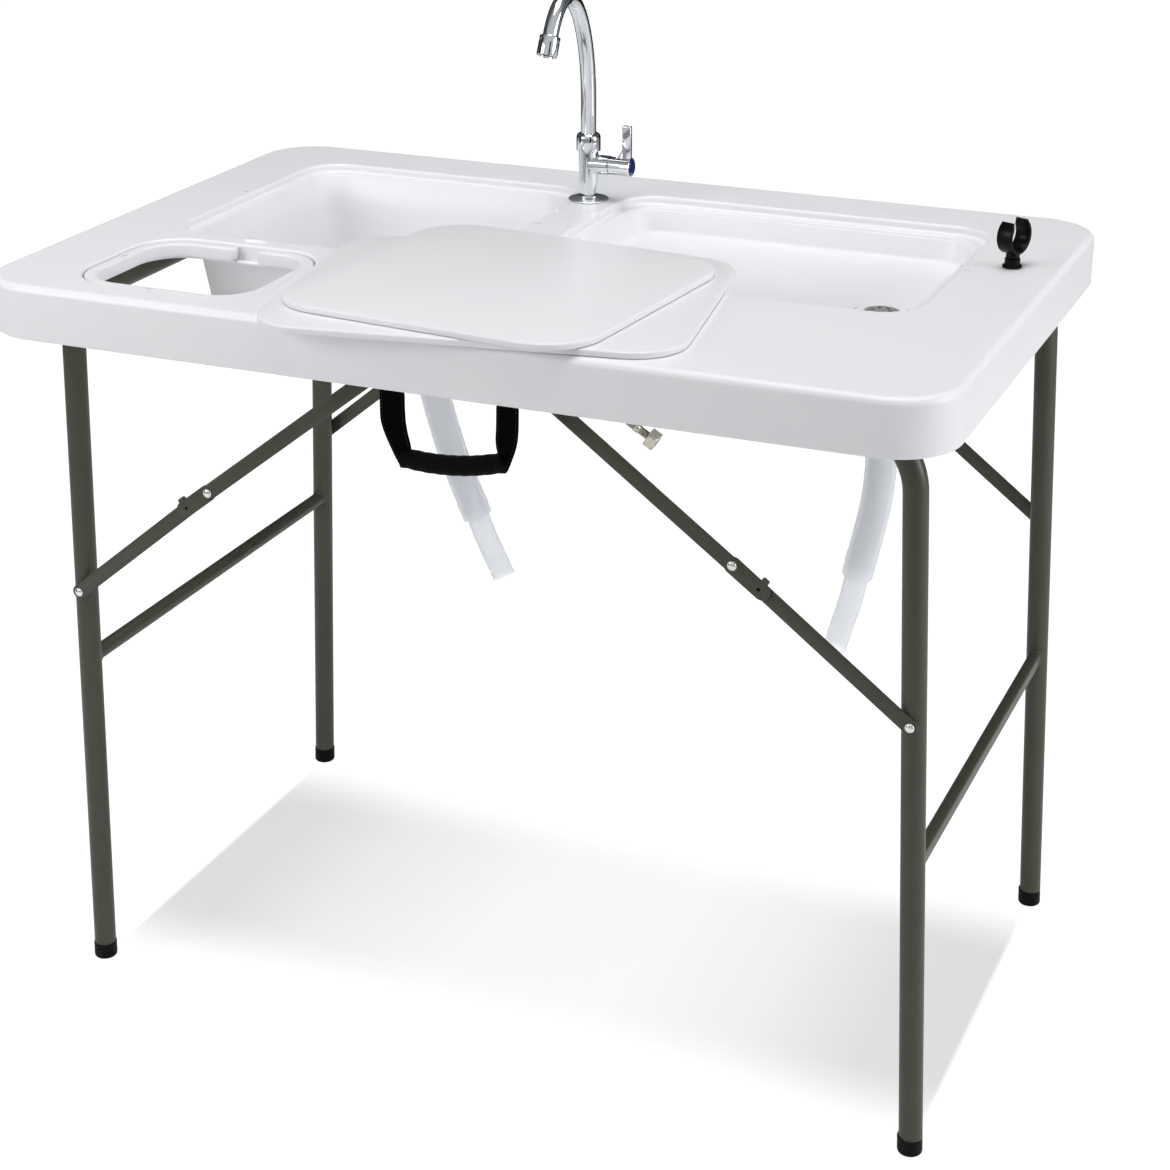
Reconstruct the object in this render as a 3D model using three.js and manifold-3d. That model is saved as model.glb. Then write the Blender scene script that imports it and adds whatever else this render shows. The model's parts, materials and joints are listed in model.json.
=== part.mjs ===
// Folding fish cleaning table. A moulded white top holds a deep basin, a shallow basin and
// a rounded cut-out with a lift-out ring for a waste bag. Two tube frames fold flat under
// the top, each held open by a pair of two-bar braces. A chrome gooseneck tap, two drain
// hoses, a rod clip, a carry handle and two loose cutting boards complete it.
// Lengths are millimetres, +Z is up and the floor is z = 0. +X runs along the top,
// toward the shallow basin, and -Y is the front, where the handle and the boards are.
import * as THREE from 'three';
import { mergeVertices } from 'three/addons/utils/BufferGeometryUtils.js';
import Module from 'manifold-3d';

const wasm = await Module();
wasm.setup();

// Clearances
const SEAT = 0.3; // between pieces that touch
const OVERRUN = 4; // how far a cutting shape passes the face that it cuts

// Moulded top
const TOP_LENGTH = 1160;
const TOP_DEPTH = 762;
const TOP_HEIGHT = 940;
const TOP_CORNER = 74;
const TOP_EDGE = 9;
const APRON_HEIGHT = 65;
const APRON_WALL = 18;
const APRON_EDGE = 3;
const SLAB_THICKNESS = 22;
const TUB_WALL = 5;
const LEDGE_DEPTH = 10;
const LEDGE_WIDTH = 12;
const LEDGE_BACK = 14.5;
const BASIN_CORNER = 50;
const BASIN_BACK_MARGIN = 92;
const BASIN_FRONT_MARGIN = 284;
const BASIN_BACK_Y = TOP_DEPTH / 2 - BASIN_BACK_MARGIN;
const BASIN_FRONT_Y = BASIN_FRONT_MARGIN - TOP_DEPTH / 2;

// Deep basin, on the left
const DEEP_END_MARGIN = 100;
const DEEP_LEFT_X = DEEP_END_MARGIN - TOP_LENGTH / 2;
const DEEP_RIGHT_X = -82;
const DEEP_DEPTH = 140;
const DEEP_FLOOR_FALL = 8;
const DEEP_DRAIN_X = -230;

// Shallow basin, on the right
const SHALLOW_LEFT_X = -20;
const SHALLOW_END_MARGIN = 116;
const SHALLOW_RIGHT_X = TOP_LENGTH / 2 - SHALLOW_END_MARGIN;
const SHALLOW_DEPTH = 60;
const SHALLOW_FLOOR_FALL = 15;
const SHALLOW_DRAIN_FROM_END = 88;
const SHALLOW_DRAIN_X = SHALLOW_RIGHT_X - SHALLOW_DRAIN_FROM_END;

// How far each basin's wall has leaned in, where its foot starts to turn and where it ends
const DEEP_LEAN = 18;
const DEEP_TURN = 12;
const SHALLOW_LEAN = 9;
const SHALLOW_TURN = 10;

// Small features of the top
const CLIP_SLOT_LENGTH = 8;
const CLIP_SLOT_WIDTH = 3;
const CLIP_SLOT_DEPTH = 5;
const CLIP_SLOT_Y = 102;
const CLIP_SLOT_OFFSET = 10;
const RIM_NOTCH_WIDTH = 11;
const RIM_NOTCH_DEPTH = 6;
const RIM_NOTCH_Y = 169;
const THUMB_INWARD = 125;
const THUMB_FROM_BASIN = 11;
const THUMB_X = DEEP_LEFT_X + THUMB_INWARD;
const THUMB_Y = BASIN_FRONT_Y - THUMB_FROM_BASIN;
const THUMB_LENGTH = 32;
const THUMB_WIDTH = 15;
const THUMB_DEPTH = 5;

// Cut-out and its bag ring
const CUT_LENGTH = 243;
const CUT_FRONT_MARGIN = 44;
const CUT_FROM_BASIN = 30;
const CUT_LEFT_X = DEEP_LEFT_X;
const CUT_RIGHT_X = CUT_LEFT_X + CUT_LENGTH;
const CUT_FRONT_Y = CUT_FRONT_MARGIN - TOP_DEPTH / 2;
const CUT_BACK_Y = BASIN_FRONT_Y - CUT_FROM_BASIN;
const CUT_CORNER = 62;
const CUT_LIP_THICKNESS = 2.4;
const CUT_LIP_WIDTH = 8;
const RING_GAP = 2;
const RING_WIDTH = 16;
const RING_BELOW_TOP = 3;
const RING_ROUND = 4;
const RING_BREAK_INWARD = 130;
const RING_BREAK_X = CUT_LEFT_X + RING_BREAK_INWARD;
const RING_BREAK = 32;
const RING_POCKET_LENGTH = 12;
const RING_POCKET_WIDTH = 5;
const RING_POCKET_DEPTH = 3;
const RING_POCKET_FROM_FRONT = 118;
const RING_POCKET_INWARD = 112;
const RING_POCKET_SIDE_Y = CUT_FRONT_Y + RING_POCKET_FROM_FRONT;
const RING_POCKET_FRONT_X = CUT_LEFT_X + RING_POCKET_INWARD;

// Drain fittings
const DRAIN_Y = 96;
const DRAIN_SEAT_RADIUS = 33;
const DRAIN_SEAT_DEPTH = 2;
const DRAIN_FLANGE_RADIUS = 32;
const DRAIN_FLANGE_THICKNESS = 3;
const DRAIN_TAIL_RADIUS = 20.5;
const DRAIN_BORE_RADIUS = 17;
const DRAIN_HOLE_CLEARANCE = 0.5;
const DRAIN_TAIL_BELOW = 17;
const DRAIN_NUT_RADIUS = 27;
const DRAIN_NUT_HEIGHT = 10;
const STRAINER_CLEARANCE = 0.4;
const STRAINER_DEPTH = 5;
const STRAINER_LIP_RADIUS = 21;
const STRAINER_LIP_THICKNESS = 2;
const STRAINER_HOLE_RADIUS = 2.4;
const STRAINER_HOLE_CIRCLE = 10.5;
const STRAINER_HOLES = 6;

// Tube frames
const TUBE_RADIUS = 12.5;
const FRAME_MARGIN = 78;
const PIVOT_TUBE_MARGIN = 47;
const FRAME_HALF_WIDTH = TOP_DEPTH / 2 - FRAME_MARGIN;
const PIVOT_TUBE_HALF = TOP_DEPTH / 2 - PIVOT_TUBE_MARGIN;
const FOOT_RADIUS = 14;
const FOOT_HEIGHT = 22;
const FOOT_SOLE = 4;
const LEFT_FOOT_INWARD = 51.5;
const LEFT_PIVOT_INWARD = 88.6;
const LEFT_PIVOT_BELOW = 37;
const LEFT_CROSSBAR_BELOW = 502;
const LEFT_FOOT_X = LEFT_FOOT_INWARD - TOP_LENGTH / 2;
const LEFT_PIVOT_X = LEFT_PIVOT_INWARD - TOP_LENGTH / 2;
const LEFT_PIVOT_Z = TOP_HEIGHT - LEFT_PIVOT_BELOW;
const LEFT_CROSSBAR_Z = TOP_HEIGHT - LEFT_CROSSBAR_BELOW;
const LEFT_CROSSBAR_RADIUS = 9.5;
const RIGHT_FOOT_INWARD = 8;
const RIGHT_BEND_INWARD = 47.6;
const RIGHT_BEND_BELOW = 125;
const RIGHT_CROSSBAR_BELOW = 566.6;
const RIGHT_FOOT_X = TOP_LENGTH / 2 - RIGHT_FOOT_INWARD;
const RIGHT_BEND_X = TOP_LENGTH / 2 - RIGHT_BEND_INWARD;
const RIGHT_BEND_Z = TOP_HEIGHT - RIGHT_BEND_BELOW;
const RIGHT_BEND_RADIUS = 83;
const RIGHT_BEND_ANGLE = THREE.MathUtils.degToRad(65);
const RIGHT_CROSSBAR_Z = TOP_HEIGHT - RIGHT_CROSSBAR_BELOW;
const RIGHT_CROSSBAR_TALL = 19;
const RIGHT_CROSSBAR_THICK = 15;
const RIGHT_CROSSBAR_ROUND = 4.5;

// Pivot brackets under the top
const BRACKET_HALF_LENGTH = 22;
const BRACKET_THICKNESS = 12;
const BRACKET_FROM_LEG = 17;
const BRACKET_INNER_Y = FRAME_HALF_WIDTH + BRACKET_FROM_LEG;
const BRACKET_BELOW_PIVOT = 18;
const BRACKET_ROUND = 10;
const BORE_CLEARANCE = 0.5;

// Two-bar braces. The lower bar is pinned to the leg, the upper one to a bracket under the
// top. The upper bar runs on past the elbow and covers the lower one there.
const BAR_THICKNESS = 2.5;
const LOWER_BAR_FROM_LEG = 14.5;
const UPPER_BAR_FROM_LOWER = 3;
const LOWER_BAR_Y = FRAME_HALF_WIDTH + LOWER_BAR_FROM_LEG;
const UPPER_BAR_Y = LOWER_BAR_Y + UPPER_BAR_FROM_LOWER;
const BAR_HALF_WIDTH = 9;
const COVER_HALF_WIDTH = 10;
const COVER_PAST_ELBOW = 52.5;
const TAB_LENGTH = 9;
const TAB_RISE = 5;
const TAB_FROM_END = 10;
const LOCK_HOLE_RADIUS = 2.2;
const LOCK_HOLE_FROM_END = 14.5;
const PIN_RADIUS = 4;
const PIN_CLEARANCE = 0.5;
const RIVET_HEAD_RADIUS = 5.4;
const RIVET_HEAD_HEIGHT = 2.4;
const RIVET_BOSS_RADIUS = 8.5;
const LEFT_RIVET_BELOW = 405.4;
const LEFT_ELBOW_INWARD = 268.9;
const LEFT_ELBOW_BELOW = 245.1;
const LEFT_PIN_X = -83.246;
const LEFT_PIN_BELOW = 67.977;
const LEFT_RIVET_Z = TOP_HEIGHT - LEFT_RIVET_BELOW;
const RIGHT_RIVET_BELOW = 387.1;
const RIGHT_ELBOW_INWARD = 239.3;
const RIGHT_ELBOW_BELOW = 230.8;
const RIGHT_PIN_X = 108.891;
const RIGHT_PIN_BELOW = 59.895;
const RIGHT_RIVET_Z = TOP_HEIGHT - RIGHT_RIVET_BELOW;
const HANGER_FROM_BAR = 3.5;
const HANGER_INNER_Y = UPPER_BAR_Y + HANGER_FROM_BAR;
const HANGER_THICKNESS = 3;
const HANGER_HALF_LENGTH = 15;
const HANGER_BELOW_PIN = 13;
const HANGER_FLANGE_DEPTH = 16;

// Cutting boards
const BOARD_THICKNESS = 8;
const BOARD_EDGE = 2.5;
const LOWER_BOARD_LENGTH = 480;
const LOWER_BOARD_DEPTH = 379;
const LOWER_BOARD_CORNER = 60;
const LOWER_BOARD_X = 21.2;
const LOWER_BOARD_Y = -207.6;
const LOWER_BOARD_TURN = THREE.MathUtils.degToRad(8.9);
const UPPER_BOARD_LENGTH = 394;
const UPPER_BOARD_DEPTH = 386;
const UPPER_BOARD_CORNER = 66;
const UPPER_BOARD_X = 14;
const UPPER_BOARD_Y = -195;
const UPPER_BOARD_TURN = THREE.MathUtils.degToRad(-6.1);

// Rod clip
const CLIP_FROM_END = 60.2;
const CLIP_X = TOP_LENGTH / 2 - CLIP_FROM_END;
const CLIP_Y = 134;
const CLIP_FLANGE_RADIUS = 11.5;
const CLIP_FLANGE_HEIGHT = 3;
const CLIP_STEM_RADIUS = 9.2;
const CLIP_STEM_HEIGHT = 11;
const CLIP_NECK_RADIUS = 5;
const CLIP_NECK_HEIGHT = 16;
const CLIP_RING_OUTER = 21.5;
const CLIP_RING_INNER = 16.5;
const CLIP_BAND = 20;
const CLIP_MOUTH_ANGLE = THREE.MathUtils.degToRad(76);
const CLIP_TURN = THREE.MathUtils.degToRad(-21.7);

// Carry handle: webbing straps and a padded grip under the front apron
const HANDLE_FROM_FRONT = 9;
const HANDLE_Y = HANDLE_FROM_FRONT - TOP_DEPTH / 2;
const HANDLE_AXIS_BELOW = 2;
const WEBBING_THICKNESS = 2.6;
const WEBBING_TOP_RISE = 1.2;
const LEFT_STRAP_X = -37;
const LEFT_STRAP_WIDTH = 30;
const RIGHT_STRAP_X = 100.6;
const RIGHT_STRAP_WIDTH = 26;
const GRIP_LEFT_X = -27;
const GRIP_RIGHT_X = 97;
const GRIP_LEFT_DROP = 77;
const GRIP_RIGHT_DROP = 65.5;
const GRIP_SAG = 7;
const GRIP_RADIUS = 11.5;
const GRIP_END_SWELL = 1;
const STRAP_END_OVERLAP = 8;

// Tap
const TAP_X = -61;
const TAP_Y = 238;
const TAP_HOLE_RADIUS = 10.5;
const TAP_PLATE_RADIUS = 26;
const TAP_PLATE_THICKNESS = 3;
const TAP_SHANK_RADIUS = 8.5;
const TAP_SHANK_BELOW = 42;
const TAP_FOOT_RADIUS = 10;
const TAP_BODY_RADIUS = 12.5;
const TAP_WAIST_HEIGHT = 8;
const TAP_FLARE_HEIGHT = 26;
const TAP_BODY_TOP = 64;
const TAP_COLLAR_RADIUS = 15.5;
const TAP_COLLAR_HEIGHT = 23;
const TAP_COLLAR_ROUND = 5;
const TAP_NUT_RADIUS = 17;
const TAP_NUT_HEIGHT = 14;
const SPOUT_RADIUS = 9.75;
const SPOUT_SOCKET_DEPTH = 14;
const SPOUT_RISE = 128;
const SPOUT_REACH = 59;
const SPOUT_CROWN = 137;
const SPOUT_SWEEP = 2.34;
const SPOUT_END = 9;
const SPOUT_TURN = THREE.MathUtils.degToRad(-5);
const AERATOR_RADIUS = 13;
const AERATOR_LENGTH = 25;
const AERATOR_SOCKET = 17;
const AERATOR_MOUTH_DEPTH = 4;
const AERATOR_MOUTH_RADIUS = 10.5;
const VALVE_HEIGHT = 47;
const VALVE_RADIUS = 12.3;
const VALVE_FIXED_REACH = 30;
const VALVE_REACH = 59.7;
const LEVER_WIDTH = 12;
const LEVER_THICKNESS = 5.5;
const LEVER_TOP = 100;
const LEVER_BACK_FROM_END = 0.5;
const LEVER_FILLET = 8;
const INDEX_RADIUS = 10;
const INDEX_THICKNESS = 1.2;

// Supply hose and its end fitting
const SUPPLY_RADIUS = 5.5;
const NUT_FROM_TAP_X = 79;
const NUT_FROM_TAP_Y = 36;
const NUT_BELOW_TOP = 331;
const NUT_X = TAP_X + NUT_FROM_TAP_X;
const NUT_Y = TAP_Y + NUT_FROM_TAP_Y;
const NUT_Z = TOP_HEIGHT - NUT_BELOW_TOP;
const SUPPLY_RUN = [
  [0, 2, -76],
  [6, 12, -146],
  [19, 24, -201],
];
const NUT_LENGTH = 14;
const NUT_RADIUS = 15.5;
const NUT_BORE = 6.1;
const STEM_RADIUS = 5.8;
const STEM_LENGTH = 23;
const STEM_IN_NUT = 6;
const FITTING_SLOPE = THREE.MathUtils.degToRad(31);

// Drain hoses: a wide sleeve on each drain, with a narrower hose below it. The places of a
// run are counted from the middle of its drain tail's end.
const SLEEVE_RADIUS = 19;
const HOSE_RADIUS = 14.5;
const DEEP_SLEEVE_RUN = [
  [18, -2, -78],
  [40, -3, -156],
  [66, -4, -236],
];
const DEEP_HOSE_RUN = [[107, -6, -319]];
const SHALLOW_SLEEVE_RUN = [
  [8, 0, -118],
  [7, 0, -208],
  [-10.5, 0, -320.6],
];
const SHALLOW_HOSE_RUN = [[-45, 0, -424]];

// Counts
const CORNER_STEPS = 6;
const SMALL_CORNER_STEPS = 5;
const EDGE_STEPS = 3;
const ROUND_SIDES = 16;
const FINE_SIDES = 20;
const SMALL_SIDES = 12;
const HOSE_SIDES = 10;

// Levels and places that follow from the sizes
const SLAB_BOTTOM = TOP_HEIGHT - SLAB_THICKNESS;
const APRON_BOTTOM = TOP_HEIGHT - APRON_HEIGHT;
const HANG = SLAB_BOTTOM - SEAT;
const HALF_LENGTH = TOP_LENGTH / 2;
const HALF_DEPTH = TOP_DEPTH / 2;
const DEEP_DRAIN_Z = TOP_HEIGHT - DEEP_DEPTH;
const SHALLOW_DRAIN_Z = TOP_HEIGHT - SHALLOW_DEPTH;

// Materials
const matte = (color, roughness) => new THREE.MeshStandardMaterial({ color, roughness, metalness: 0 });
const metal = (color, roughness) => new THREE.MeshStandardMaterial({ color, roughness, metalness: 1 });
const WHITE_PLASTIC = matte(0xdcdcdf, 0.5);
const BOARD_PLASTIC = matte(0xececee, 0.45);
const FRAME_PAINT = matte(0x4b4d43, 0.4);
const BRACKET_STEEL = metal(0x9a9c98, 0.4);
const BLACK_PLASTIC = matte(0x141414, 0.5);
const WEBBING = matte(0x0b0b0c, 0.9);
const CHROME = metal(0xc9cdd2, 0.1);
const INDEX_BLUE = matte(0x2b3a6e, 0.3);
const NICKEL = metal(0x9d978a, 0.35);
const CLEAR_HOSE = matte(0xe3e7ee, 0.35);
const BRAID = metal(0xa8abaf, 0.45);

// Table top, pieces and joints share one group, with the floor at zero
const table = new THREE.Group();

function add(name, geometry, material, parent = table) {
  const mesh = new THREE.Mesh(geometry, material);
  mesh.name = name;
  parent.add(mesh);
  return mesh;
}

// A closed geometry as a solid that can be joined and cut
function solid(geometry) {
  const bare = geometry.clone();
  bare.deleteAttribute('normal');
  bare.deleteAttribute('uv');
  const merged = mergeVertices(bare);
  const triVerts = new Uint32Array(merged.index.array);
  const vertProperties = new Float32Array(merged.attributes.position.array);
  return new wasm.Manifold(new wasm.Mesh({ numProp: 3, vertProperties, triVerts }));
}

// A solid as a geometry again
function geometryOf(body) {
  const mesh = body.getMesh();
  const geometry = new THREE.BufferGeometry();
  geometry.setAttribute('position', new THREE.BufferAttribute(new Float32Array(mesh.vertProperties), 3));
  geometry.setIndex(new THREE.BufferAttribute(new Uint32Array(mesh.triVerts), 1));
  geometry.computeVertexNormals();
  return geometry;
}

function joined(shapes) {
  return shapes.map(solid).reduce((whole, next) => whole.add(next));
}

function without(body, cutters) {
  return cutters.map(solid).reduce((whole, next) => whole.subtract(next), body);
}

// A geometry with its faces turned out, whichever way it was wound
function facingOut(geometry) {
  const position = geometry.attributes.position;
  const index = geometry.index.array;
  const a = new THREE.Vector3();
  const b = new THREE.Vector3();
  const c = new THREE.Vector3();
  let volume = 0;
  for (let k = 0; k < index.length; k += 3) {
    a.fromBufferAttribute(position, index[k]);
    b.fromBufferAttribute(position, index[k + 1]);
    c.fromBufferAttribute(position, index[k + 2]);
    volume += a.dot(b.cross(c));
  }
  if (volume < 0) {
    for (let k = 0; k < index.length; k += 3) {
      const first = index[k];
      index[k] = index[k + 1];
      index[k + 1] = first;
    }
  }
  geometry.computeVertexNormals();
  return geometry;
}

// Loops of equal count joined one to the next. An open run is capped at both ends, and a
// closed one joins its last loop to its first.
function skin(loops, closed = false) {
  const count = loops[0].length;
  const positions = loops.flat().flatMap((point) => [point.x, point.y, point.z]);
  const index = [];
  const bands = closed ? loops.length : loops.length - 1;
  for (let band = 0; band < bands; band += 1) {
    const lower = band * count;
    const upper = ((band + 1) % loops.length) * count;
    for (let i = 0; i < count; i += 1) {
      const j = (i + 1) % count;
      index.push(lower + i, lower + j, upper + j, lower + i, upper + j, upper + i);
    }
  }
  if (!closed) {
    const last = (loops.length - 1) * count;
    for (let i = 1; i + 1 < count; i += 1) {
      index.push(0, i + 1, i, last, last + i, last + i + 1);
    }
  }
  const geometry = new THREE.BufferGeometry();
  geometry.setAttribute('position', new THREE.Float32BufferAttribute(positions, 3));
  geometry.setIndex(index);
  return facingOut(geometry);
}

// The outline of a rectangle with round corners, at one height, drawn in by an inset
function roundedLoop(box, inset, z, steps = CORNER_STEPS) {
  const radius = box.corner - inset;
  const right = box.right - inset - radius;
  const left = box.left + inset + radius;
  const back = box.back - inset - radius;
  const front = box.front + inset + radius;
  const centres = [[right, back], [left, back], [left, front], [right, front]];
  return centres.flatMap(([x, y], quarter) => Array.from({ length: steps + 1 }, (_, k) => {
    const angle = (quarter + k / steps) * Math.PI / 2;
    return new THREE.Vector3(x + radius * Math.cos(angle), y + radius * Math.sin(angle), z);
  }));
}

// A circle with as many points as a rounded outline, so that the two can be joined
function circleLoop(x, y, z, radius, count) {
  return Array.from({ length: count }, (_, k) => {
    const angle = ((k + 0.5) / count) * 2 * Math.PI;
    return new THREE.Vector3(x + radius * Math.cos(angle), y + radius * Math.sin(angle), z);
  });
}

// Insets and rises along a quarter-round edge, from its outer side to its flat face
function edgeRound(radius, steps = EDGE_STEPS) {
  return Array.from({ length: steps + 1 }, (_, k) => {
    const angle = (k / steps) * Math.PI / 2;
    return { inset: radius * (1 - Math.cos(angle)), rise: radius * Math.sin(angle) };
  });
}

// A flat slab with rounded upper and lower edges
function roundedSlab(box, bottom, top, lowerEdge, upperEdge, steps = CORNER_STEPS) {
  const lower = edgeRound(lowerEdge).reverse();
  const upper = edgeRound(upperEdge);
  return skin([
    ...lower.map(({ inset, rise }) => roundedLoop(box, inset, bottom + lowerEdge - rise, steps)),
    ...upper.map(({ inset, rise }) => roundedLoop(box, inset, top - upperEdge + rise, steps)),
  ]);
}

// A straight-sided block with round corners
function roundedBlock(box, bottom, top, inset = 0, steps = CORNER_STEPS) {
  return skin([roundedLoop(box, inset, bottom, steps), roundedLoop(box, inset, top, steps)]);
}

// A rod between two points
function rod(from, to, radius, sides = ROUND_SIDES) {
  const length = from.distanceTo(to);
  const geometry = new THREE.CylinderGeometry(radius, radius, length, sides);
  const turn = new THREE.Quaternion().setFromUnitVectors(
    new THREE.Vector3(0, 1, 0),
    to.clone().sub(from).normalize(),
  );
  geometry.applyQuaternion(turn);
  const middle = from.clone().add(to).multiplyScalar(0.5);
  return geometry.translate(middle.x, middle.y, middle.z);
}

// A round bar through a run of points, its rings square to the run
function sweep(points, radius, sides) {
  const tangents = points.map((point, k) => {
    const before = points[Math.max(k - 1, 0)];
    const after = points[Math.min(k + 1, points.length - 1)];
    const back = k > 0 ? point.clone().sub(before).normalize() : new THREE.Vector3();
    const ahead = k + 1 < points.length ? after.clone().sub(point).normalize() : new THREE.Vector3();
    return back.add(ahead).normalize();
  });
  const side = new THREE.Vector3(0, 1, 0);
  if (Math.abs(tangents[0].y) > 0.9) {
    side.set(1, 0, 0);
  }
  const radii = Array.isArray(radius) ? radius : points.map(() => radius);
  const loops = points.map((point, k) => {
    side.addScaledVector(tangents[k], -side.dot(tangents[k])).normalize();
    const up = tangents[k].clone().cross(side);
    return Array.from({ length: sides }, (_, i) => {
      const angle = (i / sides) * 2 * Math.PI;
      return point.clone()
        .addScaledVector(side, radii[k] * Math.cos(angle))
        .addScaledVector(up, radii[k] * Math.sin(angle));
    });
  });
  return skin(loops);
}

// A turned shape on the Z axis from radius and height pairs that start and end on the axis,
// or close on themselves
function turned(profile, sides = FINE_SIDES) {
  const geometry = new THREE.LatheGeometry(profile.map(([r, h]) => new THREE.Vector2(r, h)), sides);
  geometry.rotateX(Math.PI / 2);
  return facingOut(mergeVertices(bareOf(geometry)));
}

function bareOf(geometry) {
  geometry.deleteAttribute('normal');
  geometry.deleteAttribute('uv');
  return geometry;
}

// A plate that stands in the XZ plane, between two distances from the middle of the table,
// on the front side or the rear side
function uprightPlate(shape, near, far, side, curveSegments = SMALL_SIDES / 2) {
  const geometry = new THREE.ExtrudeGeometry(shape, { depth: far - near, bevelEnabled: false, curveSegments });
  geometry.rotateX(Math.PI / 2);
  return geometry.translate(0, side > 0 ? far : -near, 0);
}

// A round pin along Y, between two distances from the middle
function crossPin(x, z, near, far, side, radius, sides = SMALL_SIDES) {
  return rod(new THREE.Vector3(x, side * near, z), new THREE.Vector3(x, side * far, z), radius, sides);
}

// A flat bar with round ends from one point to another, in the XZ plane
function barShape(from, to, half) {
  const angle = Math.atan2(to.y - from.y, to.x - from.x);
  const shape = new THREE.Shape();
  shape.absarc(to.x, to.y, half, angle - Math.PI / 2, angle + Math.PI / 2, false);
  shape.absarc(from.x, from.y, half, angle + Math.PI / 2, angle + 3 * Math.PI / 2, false);
  return shape;
}

function roundHole(x, y, radius) {
  const hole = new THREE.Path();
  hole.absarc(x, y, radius, 0, 2 * Math.PI, true);
  return hole;
}

// A domed rivet head on a face that looks outward along Y
function rivetHead(x, z, face, side) {
  const profile = [[0, 0], ...edgeRound(1).map(({ inset, rise }) => [
    RIVET_HEAD_RADIUS * (1 - inset),
    RIVET_HEAD_HEIGHT * rise,
  ])];
  profile[profile.length - 1][0] = 0;
  const head = turned(profile, SMALL_SIDES);
  head.rotateX(side > 0 ? -Math.PI / 2 : Math.PI / 2);
  return head.translate(x, side * face, z);
}

// A nut with a round bore, standing on the Z axis
function nutShape(radius, bore, bottom, top, flats = 6) {
  const shape = new THREE.Shape(Array.from({ length: flats }, (_, k) => {
    const angle = (k / flats) * 2 * Math.PI;
    return new THREE.Vector2(radius * Math.cos(angle), radius * Math.sin(angle));
  }));
  shape.holes.push(roundHole(0, 0, bore));
  const geometry = new THREE.ExtrudeGeometry(shape, {
    depth: top - bottom, bevelEnabled: false, curveSegments: ROUND_SIDES,
  });
  return geometry.translate(0, 0, bottom);
}

// Points on a smooth run through chosen places, with straight ends
function smoothRun(places, count) {
  return new THREE.CatmullRomCurve3(places, false, 'centripetal').getSpacedPoints(count);
}

// The moulded top
const topBox = { left: -HALF_LENGTH, right: HALF_LENGTH, front: -HALF_DEPTH, back: HALF_DEPTH, corner: TOP_CORNER };
const deepRecess = {
  left: DEEP_LEFT_X, right: DEEP_RIGHT_X, front: BASIN_FRONT_Y, back: BASIN_BACK_Y, corner: BASIN_CORNER,
};
const shallowRecess = {
  left: SHALLOW_LEFT_X, right: SHALLOW_RIGHT_X, front: BASIN_FRONT_Y, back: BASIN_BACK_Y, corner: BASIN_CORNER,
};

function mouthOf(recess) {
  return {
    left: recess.left + LEDGE_WIDTH,
    right: recess.right - LEDGE_WIDTH,
    front: recess.front + LEDGE_WIDTH,
    back: recess.back - LEDGE_BACK,
    corner: recess.corner,
  };
}

// A basin's hollow, or its outer shape when a wall is given, from the floor by the drain
// up to the top of the ledge
function basin(recess, depth, fall, lean, turn, drainX, wall, top) {
  const mouth = mouthOf(recess);
  const count = 4 * (CORNER_STEPS + 1);
  const foot = TOP_HEIGHT - depth + fall - wall;
  return skin([
    circleLoop(drainX, DRAIN_Y, TOP_HEIGHT - depth - wall, DRAIN_SEAT_RADIUS + wall, count),
    roundedLoop(mouth, lean + 2 * turn - wall, foot),
    roundedLoop(mouth, lean + turn / 2 - wall, foot + turn / 3),
    roundedLoop(mouth, lean - wall, foot + turn),
    roundedLoop(mouth, -wall, top),
  ]);
}

const ledgeZ = TOP_HEIGHT - LEDGE_DEPTH;
const deepShape = [deepRecess, DEEP_DEPTH, DEEP_FLOOR_FALL, DEEP_LEAN, DEEP_TURN, DEEP_DRAIN_X];
const shallowShape = [
  shallowRecess, SHALLOW_DEPTH, SHALLOW_FLOOR_FALL, SHALLOW_LEAN, SHALLOW_TURN, SHALLOW_DRAIN_X,
];
const cutBox = {
  left: CUT_LEFT_X, right: CUT_RIGHT_X, front: CUT_FRONT_Y, back: CUT_BACK_Y, corner: CUT_CORNER,
};

const apronHollow = roundedBlock(topBox, APRON_BOTTOM - OVERRUN, SLAB_BOTTOM, APRON_WALL);
const shell = without(
  solid(roundedSlab(topBox, APRON_BOTTOM, TOP_HEIGHT, APRON_EDGE, TOP_EDGE)),
  [apronHollow],
);
const withTubs = shell
  .add(solid(basin(...deepShape, TUB_WALL, ledgeZ - TUB_WALL)))
  .add(solid(basin(...shallowShape, TUB_WALL, ledgeZ - TUB_WALL)));

function boxCut(x, y, length, width, bottom, top) {
  const geometry = new THREE.BoxGeometry(length, width, top - bottom);
  return geometry.translate(x, y, (top + bottom) / 2);
}

function drainCuts(x, floor) {
  const hole = DRAIN_TAIL_RADIUS + DRAIN_HOLE_CLEARANCE;
  return [
    rod(
      new THREE.Vector3(x, DRAIN_Y, floor - TUB_WALL - OVERRUN),
      new THREE.Vector3(x, DRAIN_Y, floor + OVERRUN),
      hole,
      FINE_SIDES,
    ),
    rod(
      new THREE.Vector3(x, DRAIN_Y, floor - DRAIN_SEAT_DEPTH),
      new THREE.Vector3(x, DRAIN_Y, floor + OVERRUN),
      DRAIN_SEAT_RADIUS,
      FINE_SIDES,
    ),
  ];
}

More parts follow.
